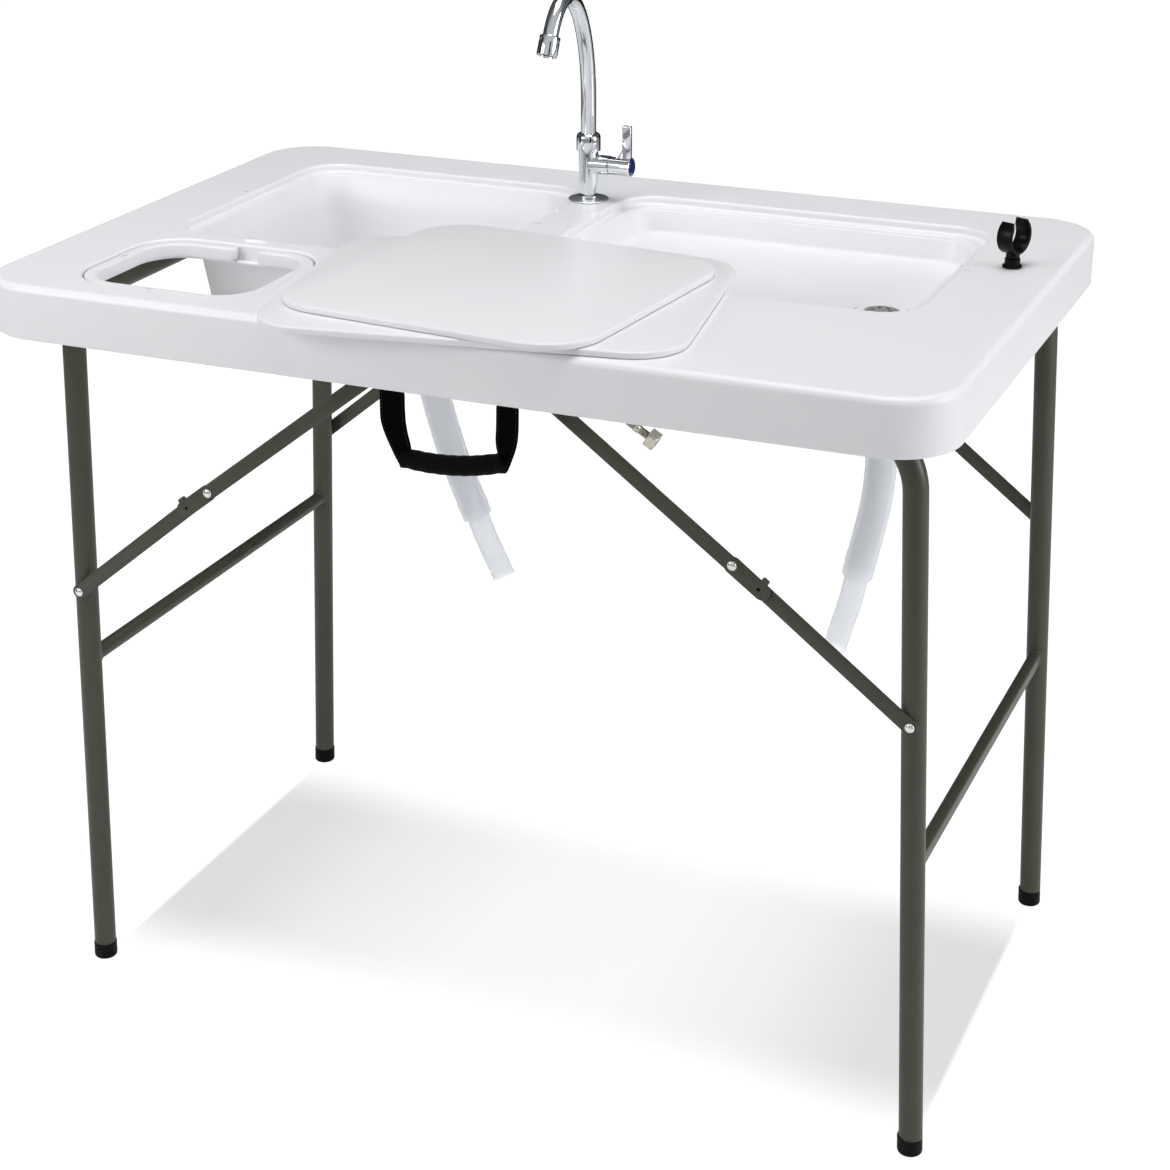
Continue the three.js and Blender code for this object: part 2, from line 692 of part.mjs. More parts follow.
const slotTop = TOP_HEIGHT + OVERRUN;
const slotXs = [
  DEEP_LEFT_X - CLIP_SLOT_OFFSET,
  DEEP_RIGHT_X + CLIP_SLOT_OFFSET,
  SHALLOW_LEFT_X - CLIP_SLOT_OFFSET,
  SHALLOW_RIGHT_X + CLIP_SLOT_OFFSET,
];
const slotCuts = slotXs.map((x) => boxCut(
  x, CLIP_SLOT_Y, CLIP_SLOT_LENGTH, CLIP_SLOT_WIDTH, TOP_HEIGHT - CLIP_SLOT_DEPTH, slotTop,
));
const notchCuts = [DEEP_RIGHT_X, SHALLOW_LEFT_X].map((x) => boxCut(
  x, RIM_NOTCH_Y, RIM_NOTCH_WIDTH, RIM_NOTCH_WIDTH, TOP_HEIGHT - RIM_NOTCH_DEPTH, slotTop,
));
const thumb = new THREE.SphereGeometry(1, SMALL_SIDES, SMALL_SIDES / 2);
thumb.scale(THUMB_LENGTH / 2, THUMB_WIDTH / 2, THUMB_DEPTH);
thumb.translate(THUMB_X, THUMB_Y, TOP_HEIGHT);

const lipTop = SLAB_BOTTOM + CUT_LIP_THICKNESS;
const topBody = without(withTubs, [
  roundedBlock(deepRecess, ledgeZ, slotTop),
  roundedBlock(shallowRecess, ledgeZ, slotTop),
  basin(...deepShape, 0, ledgeZ + OVERRUN),
  basin(...shallowShape, 0, ledgeZ + OVERRUN),
  roundedBlock(cutBox, lipTop, slotTop),
  roundedBlock(cutBox, SLAB_BOTTOM - OVERRUN, slotTop, CUT_LIP_WIDTH),
  ...drainCuts(DEEP_DRAIN_X, DEEP_DRAIN_Z),
  ...drainCuts(SHALLOW_DRAIN_X, SHALLOW_DRAIN_Z),
  ...slotCuts,
  ...notchCuts,
  thumb,
  rod(
    new THREE.Vector3(TAP_X, TAP_Y, SLAB_BOTTOM - OVERRUN),
    new THREE.Vector3(TAP_X, TAP_Y, slotTop),
    TAP_HOLE_RADIUS,
    SMALL_SIDES,
  ),
]);
add('table_top', geometryOf(topBody), WHITE_PLASTIC);

// The bag ring: a rounded hoop with a finger break in its back bar
const ringTop = TOP_HEIGHT - RING_BELOW_TOP;
const ringBottom = lipTop + SEAT;
const ringProfile = [
  ...edgeRound(RING_ROUND).reverse().map(({ inset, rise }) => [RING_GAP + inset, ringBottom + RING_ROUND - rise]),
  ...edgeRound(RING_ROUND).map(({ inset, rise }) => [RING_GAP + inset, ringTop - RING_ROUND + rise]),
  ...edgeRound(RING_ROUND).reverse().map(({ inset, rise }) => [
    RING_GAP + RING_WIDTH - inset, ringTop - RING_ROUND + rise,
  ]),
  ...edgeRound(RING_ROUND).map(({ inset, rise }) => [
    RING_GAP + RING_WIDTH - inset, ringBottom + RING_ROUND - rise,
  ]),
];
const hoop = skin(ringProfile.map(([inset, z]) => roundedLoop(cutBox, inset, z)), true);
const barMiddle = RING_GAP + RING_WIDTH / 2;
const pocketZ = ringTop - RING_POCKET_DEPTH;
const ringBody = without(solid(hoop), [
  boxCut(RING_BREAK_X, CUT_BACK_Y - barMiddle, RING_BREAK, RING_WIDTH + 2 * OVERRUN, lipTop, slotTop),
  boxCut(
    CUT_LEFT_X + barMiddle, RING_POCKET_SIDE_Y, RING_POCKET_WIDTH, RING_POCKET_LENGTH, pocketZ, slotTop,
  ),
  boxCut(
    RING_POCKET_FRONT_X, CUT_FRONT_Y + barMiddle, RING_POCKET_LENGTH, RING_POCKET_WIDTH, pocketZ, slotTop,
  ),
]);
add('bag_ring', geometryOf(ringBody), WHITE_PLASTIC);

// The two tube frames. Each leg is a rod from its foot to the pivot tube, and the right
// legs bend inward below the top to reach theirs.
const leftAxis = {
  foot: new THREE.Vector2(LEFT_FOOT_X, 0),
  pivot: new THREE.Vector2(LEFT_PIVOT_X, LEFT_PIVOT_Z),
};
const rightDirection = new THREE.Vector2(RIGHT_BEND_X - RIGHT_FOOT_X, RIGHT_BEND_Z).normalize();
const rightLean = Math.atan2(-rightDirection.x, rightDirection.y);
const bendCentre = new THREE.Vector2(
  RIGHT_BEND_X - RIGHT_BEND_RADIUS * Math.cos(rightLean),
  RIGHT_BEND_Z - RIGHT_BEND_RADIUS * Math.sin(rightLean),
);
const BEND_STEPS = 9;
const bendPoints = Array.from({ length: BEND_STEPS + 1 }, (_, k) => {
  const angle = rightLean + RIGHT_BEND_ANGLE * (k / BEND_STEPS);
  return new THREE.Vector2(
    bendCentre.x + RIGHT_BEND_RADIUS * Math.cos(angle),
    bendCentre.y + RIGHT_BEND_RADIUS * Math.sin(angle),
  );
});
const rightAxis = { foot: new THREE.Vector2(RIGHT_FOOT_X, 0), pivot: bendPoints[BEND_STEPS] };

// A place on a leg's straight axis at a given height
function onLeg(foot, top, z) {
  return new THREE.Vector2(foot.x + (top.x - foot.x) * (z / top.y), z);
}

const leftTop = leftAxis.pivot;
const rightTop = bendPoints[0];
const leftRivet = onLeg(leftAxis.foot, leftTop, LEFT_RIVET_Z);
const rightRivet = onLeg(rightAxis.foot, rightTop, RIGHT_RIVET_Z);
const sides = [
  { label: 'front', side: -1 },
  { label: 'rear', side: 1 },
];

function at(point, y) {
  return new THREE.Vector3(point.x, y, point.y);
}

function tubeBore(pivot) {
  const half = PIVOT_TUBE_HALF + OVERRUN;
  return rod(at(pivot, -half), at(pivot, half), TUBE_RADIUS + SEAT);
}

function legRivet(place, side) {
  const face = LOWER_BAR_Y + BAR_THICKNESS + SEAT;
  return [
    crossPin(place.x, place.y, FRAME_HALF_WIDTH, LOWER_BAR_Y - SEAT, side, RIVET_BOSS_RADIUS),
    crossPin(place.x, place.y, FRAME_HALF_WIDTH, face + SEAT, side, PIN_RADIUS),
    rivetHead(place.x, place.y, face, side),
  ];
}

function frame(name, foot, run, pivot, rivet, crossbar) {
  const tubeRun = rod(at(pivot, -PIVOT_TUBE_HALF), at(pivot, PIVOT_TUBE_HALF), TUBE_RADIUS);
  add(`${name}_pivot_tube`, tubeRun, FRAME_PAINT);
  const straightTop = run[0];
  const start = onLeg(foot, straightTop, FOOT_SOLE);
  const legAxis = { from: onLeg(foot, straightTop, -OVERRUN), to: onLeg(foot, straightTop, FOOT_HEIGHT) };
  for (const { label, side } of sides) {
    const y = side * FRAME_HALF_WIDTH;
    const path = [start, ...run].map((point) => at(point, y));
    const leg = solid(sweep(path, TUBE_RADIUS, ROUND_SIDES)).add(joined(legRivet(rivet, side)));
    add(`${name}_leg_${label}`, geometryOf(without(leg, [tubeBore(pivot)])), FRAME_PAINT);
    const cup = solid(rod(at(legAxis.from, y), at(legAxis.to, y), FOOT_RADIUS, FINE_SIDES));
    const legEnd = rod(
      at(onLeg(foot, straightTop, FOOT_SOLE - SEAT), y),
      at(onLeg(foot, straightTop, FOOT_HEIGHT + OVERRUN), y),
      TUBE_RADIUS + SEAT,
    );
    const belowFloor = boxCut(foot.x, y, 4 * FOOT_RADIUS, 4 * FOOT_RADIUS, -4 * OVERRUN, 0);
    add(`${name}_foot_${label}`, geometryOf(without(cup, [legEnd, belowFloor])), BLACK_PLASTIC);
  }
  const place = onLeg(foot, straightTop, crossbar.z);
  const legBores = sides.map(({ side }) => rod(
    at(onLeg(foot, straightTop, crossbar.z - 4 * TUBE_RADIUS), side * FRAME_HALF_WIDTH),
    at(onLeg(foot, straightTop, crossbar.z + 4 * TUBE_RADIUS), side * FRAME_HALF_WIDTH),
    TUBE_RADIUS + SEAT,
  ));
  add(`${name}_crossbar`, geometryOf(without(solid(crossbar.shape(place)), legBores)), FRAME_PAINT);
}

frame('left', leftAxis.foot, [leftTop], leftAxis.pivot, leftRivet, {
  z: LEFT_CROSSBAR_Z,
  shape: (place) => rod(at(place, -FRAME_HALF_WIDTH), at(place, FRAME_HALF_WIDTH), LEFT_CROSSBAR_RADIUS),
});

// The right crossbar is slightly flattened
frame('right', rightAxis.foot, bendPoints, rightAxis.pivot, rightRivet, {
  z: RIGHT_CROSSBAR_Z,
  shape: (place) => {
    const section = {
      left: -RIGHT_CROSSBAR_THICK / 2,
      right: RIGHT_CROSSBAR_THICK / 2,
      front: -RIGHT_CROSSBAR_TALL / 2,
      back: RIGHT_CROSSBAR_TALL / 2,
      corner: RIGHT_CROSSBAR_ROUND,
    };
    const bar = roundedBlock(section, -FRAME_HALF_WIDTH, FRAME_HALF_WIDTH, 0, SMALL_CORNER_STEPS);
    bar.rotateX(Math.PI / 2);
    bar.rotateY(-rightLean);
    return bar.translate(place.x, 0, place.y);
  },
});

// Pivot brackets: blocks under the top that the pivot tubes turn in
function pivotBracket(name, pivot, side) {
  const shape = new THREE.Shape();
  const left = pivot.x - BRACKET_HALF_LENGTH;
  const right = pivot.x + BRACKET_HALF_LENGTH;
  const bottom = pivot.y - BRACKET_BELOW_PIVOT;
  shape.moveTo(left, HANG);
  shape.lineTo(left, bottom + BRACKET_ROUND);
  shape.absarc(left + BRACKET_ROUND, bottom + BRACKET_ROUND, BRACKET_ROUND, Math.PI, 1.5 * Math.PI, false);
  shape.absarc(right - BRACKET_ROUND, bottom + BRACKET_ROUND, BRACKET_ROUND, 1.5 * Math.PI, 2 * Math.PI, false);
  shape.lineTo(right, HANG);
  shape.holes.push(roundHole(pivot.x, pivot.y, TUBE_RADIUS + BORE_CLEARANCE));
  const far = BRACKET_INNER_Y + BRACKET_THICKNESS;
  add(name, uprightPlate(shape, BRACKET_INNER_Y, far, side, SMALL_SIDES), BLACK_PLASTIC);
}

// Braces, each of a lower bar on the leg, an upper bar with its cover, and a hanger bracket
function brace(name, rivet, elbow, pin, side, label) {
  const lowerFar = LOWER_BAR_Y + BAR_THICKNESS;
  const upperFar = UPPER_BAR_Y + BAR_THICKNESS;
  const lowerShape = barShape(elbow, rivet, BAR_HALF_WIDTH);
  lowerShape.holes.push(roundHole(rivet.x, rivet.y, PIN_RADIUS + PIN_CLEARANCE));
  add(`${name}_brace_lower_${label}`, uprightPlate(lowerShape, LOWER_BAR_Y, lowerFar, side), FRAME_PAINT);

  const along = elbow.clone().sub(pin).normalize();
  const upward = new THREE.Vector2(-along.y, along.x).multiplyScalar(Math.sign(along.x));
  const coverEnd = elbow.clone().addScaledVector(along, COVER_PAST_ELBOW - COVER_HALF_WIDTH);
  const upperShape = barShape(pin, elbow, BAR_HALF_WIDTH);
  const upper = solid(uprightPlate(upperShape, UPPER_BAR_Y, upperFar, side));
  const cover = solid(uprightPlate(barShape(elbow, coverEnd, COVER_HALF_WIDTH), UPPER_BAR_Y, upperFar, side));
  const tabEnd = elbow.clone().addScaledVector(along, COVER_PAST_ELBOW - TAB_FROM_END);
  const tabStart = tabEnd.clone().addScaledVector(along, -TAB_LENGTH);
  const tabShape = new THREE.Shape([
    tabStart.clone().addScaledVector(upward, BAR_HALF_WIDTH + 2 * SEAT),
    tabEnd.clone().addScaledVector(upward, BAR_HALF_WIDTH + 2 * SEAT),
    tabEnd.clone().addScaledVector(upward, BAR_HALF_WIDTH + TAB_RISE),
    tabStart.clone().addScaledVector(upward, BAR_HALF_WIDTH + TAB_RISE),
  ]);
  const tab = solid(uprightPlate(tabShape, LOWER_BAR_Y, upperFar, side));
  const holes = elbow.clone().addScaledVector(along, COVER_PAST_ELBOW - LOCK_HOLE_FROM_END);
  const reach = [UPPER_BAR_Y - OVERRUN, upperFar + OVERRUN, side];
  const body = without(upper.add(cover).add(tab).add(solid(rivetHead(elbow.x, elbow.y, upperFar, side))), [
    crossPin(pin.x, pin.y, ...reach, PIN_RADIUS + PIN_CLEARANCE),
    crossPin(holes.x, holes.y, ...reach, LOCK_HOLE_RADIUS, SMALL_SIDES),
  ]);
  add(`${name}_brace_upper_${label}`, geometryOf(body), FRAME_PAINT);

  const hangerFar = HANGER_INNER_Y + HANGER_THICKNESS;
  const plate = new THREE.Shape([
    new THREE.Vector2(pin.x - HANGER_HALF_LENGTH, HANG),
    new THREE.Vector2(pin.x - HANGER_HALF_LENGTH, pin.y),
    new THREE.Vector2(pin.x - HANGER_HALF_LENGTH / 2, pin.y - HANGER_BELOW_PIN),
    new THREE.Vector2(pin.x + HANGER_HALF_LENGTH / 2, pin.y - HANGER_BELOW_PIN),
    new THREE.Vector2(pin.x + HANGER_HALF_LENGTH, pin.y),
    new THREE.Vector2(pin.x + HANGER_HALF_LENGTH, HANG),
  ]);
  const flange = new THREE.Shape([
    new THREE.Vector2(pin.x - HANGER_HALF_LENGTH, HANG),
    new THREE.Vector2(pin.x - HANGER_HALF_LENGTH, HANG - HANGER_THICKNESS),
    new THREE.Vector2(pin.x + HANGER_HALF_LENGTH, HANG - HANGER_THICKNESS),
    new THREE.Vector2(pin.x + HANGER_HALF_LENGTH, HANG),
  ]);
  const hanger = joined([
    uprightPlate(plate, HANGER_INNER_Y, hangerFar, side),
    uprightPlate(flange, HANGER_INNER_Y, HANGER_INNER_Y + HANGER_FLANGE_DEPTH, side),
    crossPin(pin.x, pin.y, UPPER_BAR_Y, hangerFar, side, PIN_RADIUS),
    rivetHead(pin.x, pin.y, hangerFar, side),
  ]);
  add(`${name}_brace_hanger_${label}`, geometryOf(hanger), BRACKET_STEEL);
}

const leftElbow = new THREE.Vector2(LEFT_ELBOW_INWARD - HALF_LENGTH, TOP_HEIGHT - LEFT_ELBOW_BELOW);
const rightElbow = new THREE.Vector2(HALF_LENGTH - RIGHT_ELBOW_INWARD, TOP_HEIGHT - RIGHT_ELBOW_BELOW);
const leftPin = new THREE.Vector2(LEFT_PIN_X, TOP_HEIGHT - LEFT_PIN_BELOW);
const rightPin = new THREE.Vector2(RIGHT_PIN_X, TOP_HEIGHT - RIGHT_PIN_BELOW);
for (const { label, side } of sides) {
  pivotBracket(`left_pivot_bracket_${label}`, leftAxis.pivot, side);
  pivotBracket(`right_pivot_bracket_${label}`, rightAxis.pivot, side);
  brace('left', leftRivet, leftElbow, leftPin, side, label);
  brace('right', rightRivet, rightElbow, rightPin, side, label);
}

// Cutting boards: the lids of the two basins, laid one on the other over the front edge
function board(name, length, depth, corner, x, y, turn, bottom) {
  const box = { left: -length / 2, right: length / 2, front: -depth / 2, back: depth / 2, corner };
  const slab = roundedSlab(box, 0, BOARD_THICKNESS, BOARD_EDGE, BOARD_EDGE);
  const mesh = add(name, slab, BOARD_PLASTIC);
  mesh.position.set(x, y, bottom);
  mesh.rotation.z = turn;
}

const lowerBoardZ = TOP_HEIGHT + SEAT;
const upperBoardZ = lowerBoardZ + BOARD_THICKNESS + SEAT;
board(
  'cutting_board_lower', LOWER_BOARD_LENGTH, LOWER_BOARD_DEPTH, LOWER_BOARD_CORNER,
  LOWER_BOARD_X, LOWER_BOARD_Y, LOWER_BOARD_TURN, lowerBoardZ,
);
board(
  'cutting_board_upper', UPPER_BOARD_LENGTH, UPPER_BOARD_DEPTH, UPPER_BOARD_CORNER,
  UPPER_BOARD_X, UPPER_BOARD_Y, UPPER_BOARD_TURN, upperBoardZ,
);

// Rod clip: a turned base and an open ring that swivels on it
const clip = new THREE.Group();
clip.position.set(CLIP_X, CLIP_Y, TOP_HEIGHT + SEAT);
table.add(clip);
const clipBase = turned([
  [0, 0],
  [CLIP_FLANGE_RADIUS, 0],
  [CLIP_FLANGE_RADIUS, CLIP_FLANGE_HEIGHT],
  [CLIP_STEM_RADIUS, CLIP_FLANGE_HEIGHT],
  [CLIP_STEM_RADIUS, CLIP_STEM_HEIGHT],
  [CLIP_NECK_RADIUS, CLIP_STEM_HEIGHT],
  [CLIP_NECK_RADIUS, CLIP_NECK_HEIGHT],
  [0, CLIP_NECK_HEIGHT],
]);
add('clip_base', clipBase, BLACK_PLASTIC, clip);
const mouthStart = Math.PI / 2 + CLIP_MOUTH_ANGLE / 2;
const mouthEnd = Math.PI / 2 - CLIP_MOUTH_ANGLE / 2 + 2 * Math.PI;
const clipShape = new THREE.Shape();
clipShape.absarc(0, 0, CLIP_RING_OUTER, mouthStart, mouthEnd, false);
clipShape.absarc(0, 0, CLIP_RING_INNER, mouthEnd, mouthStart, true);
const clipRing = new THREE.ExtrudeGeometry(clipShape, {
  depth: CLIP_BAND, bevelEnabled: false, curveSegments: FINE_SIDES,
});
clipRing.translate(0, 0, -CLIP_BAND / 2);
clipRing.rotateX(Math.PI / 2);
clipRing.rotateZ(Math.PI / 2);
clipRing.translate(0, 0, CLIP_NECK_HEIGHT + SEAT + CLIP_RING_OUTER);
const clipRingMesh = add('clip_ring', clipRing, BLACK_PLASTIC, clip);
clipRingMesh.rotation.z = CLIP_TURN;

// Carry handle: two webbing straps and a sagging padded grip, hung from the front apron
const handle = new THREE.Group();
handle.position.set(0, HANDLE_Y, APRON_BOTTOM - HANDLE_AXIS_BELOW);
table.add(handle);
const gripEnds = {
  left: -GRIP_LEFT_DROP + HANDLE_AXIS_BELOW,
  right: -GRIP_RIGHT_DROP + HANDLE_AXIS_BELOW,
};

function webbing(points) {
  const shape = new THREE.Shape(points.map(([x, z]) => new THREE.Vector2(x, z)));
  const strap = new THREE.ExtrudeGeometry(shape, { depth: WEBBING_THICKNESS, bevelEnabled: false });
  strap.rotateX(Math.PI / 2);
  return strap.translate(0, WEBBING_THICKNESS / 2, 0);
}

// Down the left strap: half its width or a share of its drop at each turn of its outline
const strapTurnShare = 0.49;
const strapWaistShare = 0.82;
const leftOuter = LEFT_STRAP_X - LEFT_STRAP_WIDTH / 2;
const leftInner = LEFT_STRAP_X + LEFT_STRAP_WIDTH / 2;
const gripTopLeft = gripEnds.left + GRIP_RADIUS + GRIP_END_SWELL;
add('handle_strap_left', webbing([
  [leftOuter, WEBBING_TOP_RISE],
  [leftOuter, gripEnds.left * strapTurnShare],
  [GRIP_LEFT_X - SEAT - WEBBING_THICKNESS, gripEnds.left - GRIP_RADIUS],
  [GRIP_LEFT_X - SEAT, gripEnds.left - GRIP_RADIUS],
  [GRIP_LEFT_X - SEAT, gripTopLeft + SEAT],
  [GRIP_LEFT_X + STRAP_END_OVERLAP, gripTopLeft + SEAT],
  [leftInner, gripTopLeft * strapWaistShare],
  [leftInner, WEBBING_TOP_RISE],
]), WEBBING, handle);
const rightOuter = RIGHT_STRAP_X + RIGHT_STRAP_WIDTH / 2;
const rightInner = RIGHT_STRAP_X - RIGHT_STRAP_WIDTH / 2;
const gripTopRight = gripEnds.right + GRIP_RADIUS + GRIP_END_SWELL;
add('handle_strap_right', webbing([
  [rightInner, WEBBING_TOP_RISE],
  [rightInner, gripTopRight * strapWaistShare],
  [GRIP_RIGHT_X - STRAP_END_OVERLAP / 2, gripTopRight + SEAT],
  [GRIP_RIGHT_X + SEAT, gripTopRight + SEAT],
  [GRIP_RIGHT_X + SEAT, gripEnds.right - GRIP_RADIUS],
  [GRIP_RIGHT_X + SEAT + WEBBING_THICKNESS, gripEnds.right - GRIP_RADIUS],
  [rightOuter, gripEnds.right * strapTurnShare],
  [rightOuter, WEBBING_TOP_RISE],
]), WEBBING, handle);

const GRIP_STEPS = 10;
const gripPoints = Array.from({ length: GRIP_STEPS + 1 }, (_, k) => {
  const share = k / GRIP_STEPS;
  const chord = gripEnds.left + (gripEnds.right - gripEnds.left) * share;
  return new THREE.Vector3(
    GRIP_LEFT_X + (GRIP_RIGHT_X - GRIP_LEFT_X) * share,
    0,
    chord - GRIP_SAG * (1 - (2 * share - 1) ** 2),
  );
});
const gripRadii = gripPoints.map((_, k) => (
  GRIP_RADIUS + (k === 0 || k === GRIP_STEPS ? GRIP_END_SWELL : 0)
));
const gripTrim = [
  boxCut(GRIP_LEFT_X - GRIP_RADIUS, 0, 2 * GRIP_RADIUS, 4 * GRIP_RADIUS, -4 * GRIP_LEFT_DROP, GRIP_LEFT_DROP),
  boxCut(GRIP_RIGHT_X + GRIP_RADIUS, 0, 2 * GRIP_RADIUS, 4 * GRIP_RADIUS, -4 * GRIP_LEFT_DROP, GRIP_LEFT_DROP),
];
add('handle_grip', geometryOf(without(solid(sweep(gripPoints, gripRadii, SMALL_SIDES)), gripTrim)), WEBBING, handle);

// Tap: deck plate, body with its shank and valve barrel, collar nut, gooseneck and lever
const tap = new THREE.Group();
tap.position.set(TAP_X, TAP_Y, TOP_HEIGHT);
table.add(tap);
const plateTop = SEAT + TAP_PLATE_THICKNESS;
add('tap_deck_plate', turned([
  [TAP_HOLE_RADIUS, SEAT],
  [TAP_PLATE_RADIUS, SEAT],
  [TAP_PLATE_RADIUS, plateTop - SEAT],
  [TAP_PLATE_RADIUS - TAP_PLATE_THICKNESS / 2, plateTop],
  [TAP_HOLE_RADIUS, plateTop],
  [TAP_HOLE_RADIUS, SEAT],
], FINE_SIDES), CHROME, tap);

const bodyFoot = plateTop + SEAT;
const tapFootOuter = TAP_FOOT_RADIUS + TAP_PLATE_THICKNESS;
const tapTurned = turned([
  [0, -SLAB_THICKNESS - TAP_SHANK_BELOW + SEAT],
  [TAP_SHANK_RADIUS, -SLAB_THICKNESS - TAP_SHANK_BELOW + SEAT],
  [TAP_SHANK_RADIUS, bodyFoot],
  [tapFootOuter, bodyFoot],
  [tapFootOuter, bodyFoot + TAP_PLATE_THICKNESS],
  [TAP_FOOT_RADIUS, TAP_WAIST_HEIGHT],
  [TAP_BODY_RADIUS, TAP_FLARE_HEIGHT],
  [TAP_BODY_RADIUS, TAP_BODY_TOP],
  [0, TAP_BODY_TOP],
]);
const barrelFixed = rod(
  new THREE.Vector3(0, 0, VALVE_HEIGHT),
  new THREE.Vector3(VALVE_FIXED_REACH, 0, VALVE_HEIGHT),
  VALVE_RADIUS,
  FINE_SIDES,
);
add('tap_body', geometryOf(solid(tapTurned).add(solid(barrelFixed))), CHROME, tap);

const collarFoot = TAP_BODY_TOP + SEAT;
const collarTop = TAP_BODY_TOP + TAP_COLLAR_HEIGHT;
const collarBore = SPOUT_RADIUS + SEAT;
add('tap_collar', turned([
  [collarBore, collarFoot],
  [TAP_COLLAR_RADIUS, collarFoot],
  ...edgeRound(TAP_COLLAR_ROUND).map(({ inset, rise }) => [
    TAP_COLLAR_RADIUS - inset, collarTop - TAP_COLLAR_ROUND + rise,
  ]),
  [collarBore, collarTop],
  [collarBore, collarFoot],
]), CHROME, tap);

const tapNutTop = -SLAB_THICKNESS - SEAT;
add(
  'tap_nut',
  nutShape(TAP_NUT_RADIUS, TAP_SHANK_RADIUS + SEAT, tapNutTop - TAP_NUT_HEIGHT, tapNutTop),
  NICKEL,
  tap,
);

// The gooseneck rises straight, goes over half an ellipse and ends in a straight nose. It
// is drawn in a plane through the tap's axis, turned a little toward the deep basin.
const SPOUT_STEPS = 16;
const spoutPlane = new THREE.Vector2(Math.sin(SPOUT_TURN), -Math.cos(SPOUT_TURN));
const spoutAt = (out, up) => new THREE.Vector3(spoutPlane.x * out, spoutPlane.y * out, up);
const arcPoints = Array.from({ length: SPOUT_STEPS + 1 }, (_, k) => {
  const angle = SPOUT_SWEEP * (k / SPOUT_STEPS);
  return { out: SPOUT_REACH * (1 - Math.cos(angle)), up: SPOUT_RISE + SPOUT_CROWN * Math.sin(angle) };
});
const noseFrom = arcPoints[SPOUT_STEPS];
const noseBefore = arcPoints[SPOUT_STEPS - 1];
const noseStep = Math.hypot(noseFrom.out - noseBefore.out, noseFrom.up - noseBefore.up);
const nose = {
  out: (noseFrom.out - noseBefore.out) / noseStep,
  up: (noseFrom.up - noseBefore.up) / noseStep,
};
const alongNose = (length) => spoutAt(noseFrom.out + nose.out * length, noseFrom.up + nose.up * length);
const spoutPoints = [
  spoutAt(0, collarFoot + TAP_COLLAR_HEIGHT - SEAT - SPOUT_SOCKET_DEPTH),
  ...arcPoints.map(({ out, up }) => spoutAt(out, up)),
  alongNose(SPOUT_END),
];
add('tap_spout', sweep(spoutPoints, SPOUT_RADIUS, ROUND_SIDES), CHROME, tap);

const aeratorStart = SPOUT_END - AERATOR_SOCKET + SEAT;
const aeratorOuter = rod(
  alongNose(aeratorStart), alongNose(aeratorStart + AERATOR_LENGTH), AERATOR_RADIUS, FINE_SIDES,
);
const lastArc = [noseBefore, noseFrom].map(({ out, up }) => spoutAt(out, up));
const aeratorSocket = sweep(
  [alongNose(aeratorStart - OVERRUN), alongNose(SPOUT_END + SEAT)], SPOUT_RADIUS + 2 * SEAT, ROUND_SIDES,
);
const aeratorMouth = rod(
  alongNose(aeratorStart + AERATOR_LENGTH - AERATOR_MOUTH_DEPTH),
  alongNose(aeratorStart + AERATOR_LENGTH + OVERRUN),
  AERATOR_MOUTH_RADIUS,
);
const spoutTail = sweep([...lastArc, alongNose(SPOUT_END)], SPOUT_RADIUS + 2 * SEAT, ROUND_SIDES);
add(
  'tap_aerator',
  geometryOf(without(solid(aeratorOuter), [aeratorSocket, spoutTail, aeratorMouth])),
  CHROME,
  tap,
);

// The lever turns on the valve barrel's axis
const valve = new THREE.Group();
valve.position.set(0, 0, VALVE_HEIGHT);
tap.add(valve);
const leverBarrel = rod(
  new THREE.Vector3(VALVE_FIXED_REACH + SEAT, 0, 0),
  new THREE.Vector3(VALVE_REACH, 0, 0),
  VALVE_RADIUS,
  FINE_SIDES,
);
const bladeRight = VALVE_REACH - LEVER_BACK_FROM_END;
const bladeLeft = bladeRight - LEVER_WIDTH;
const bladeTop = LEVER_TOP - VALVE_HEIGHT;
const bladeShape = new THREE.Shape([
  new THREE.Vector2(bladeLeft - LEVER_FILLET, 0),
  new THREE.Vector2(bladeRight, 0),
  new THREE.Vector2(bladeRight, bladeTop),
  new THREE.Vector2(bladeLeft, bladeTop),
  new THREE.Vector2(bladeLeft, VALVE_RADIUS + LEVER_FILLET),
  new THREE.Vector2(bladeLeft - LEVER_FILLET, VALVE_RADIUS / 2),
]);
const blade = new THREE.ExtrudeGeometry(bladeShape, { depth: LEVER_THICKNESS, bevelEnabled: false });
blade.rotateX(Math.PI / 2);
blade.translate(0, LEVER_THICKNESS / 2, 0);
add('tap_lever', geometryOf(solid(leverBarrel).add(solid(blade))), CHROME, valve);
add('tap_index', rod(
  new THREE.Vector3(VALVE_REACH + SEAT, 0, 0),
  new THREE.Vector3(VALVE_REACH + SEAT + INDEX_THICKNESS, 0, 0),
  INDEX_RADIUS,
), INDEX_BLUE, valve);

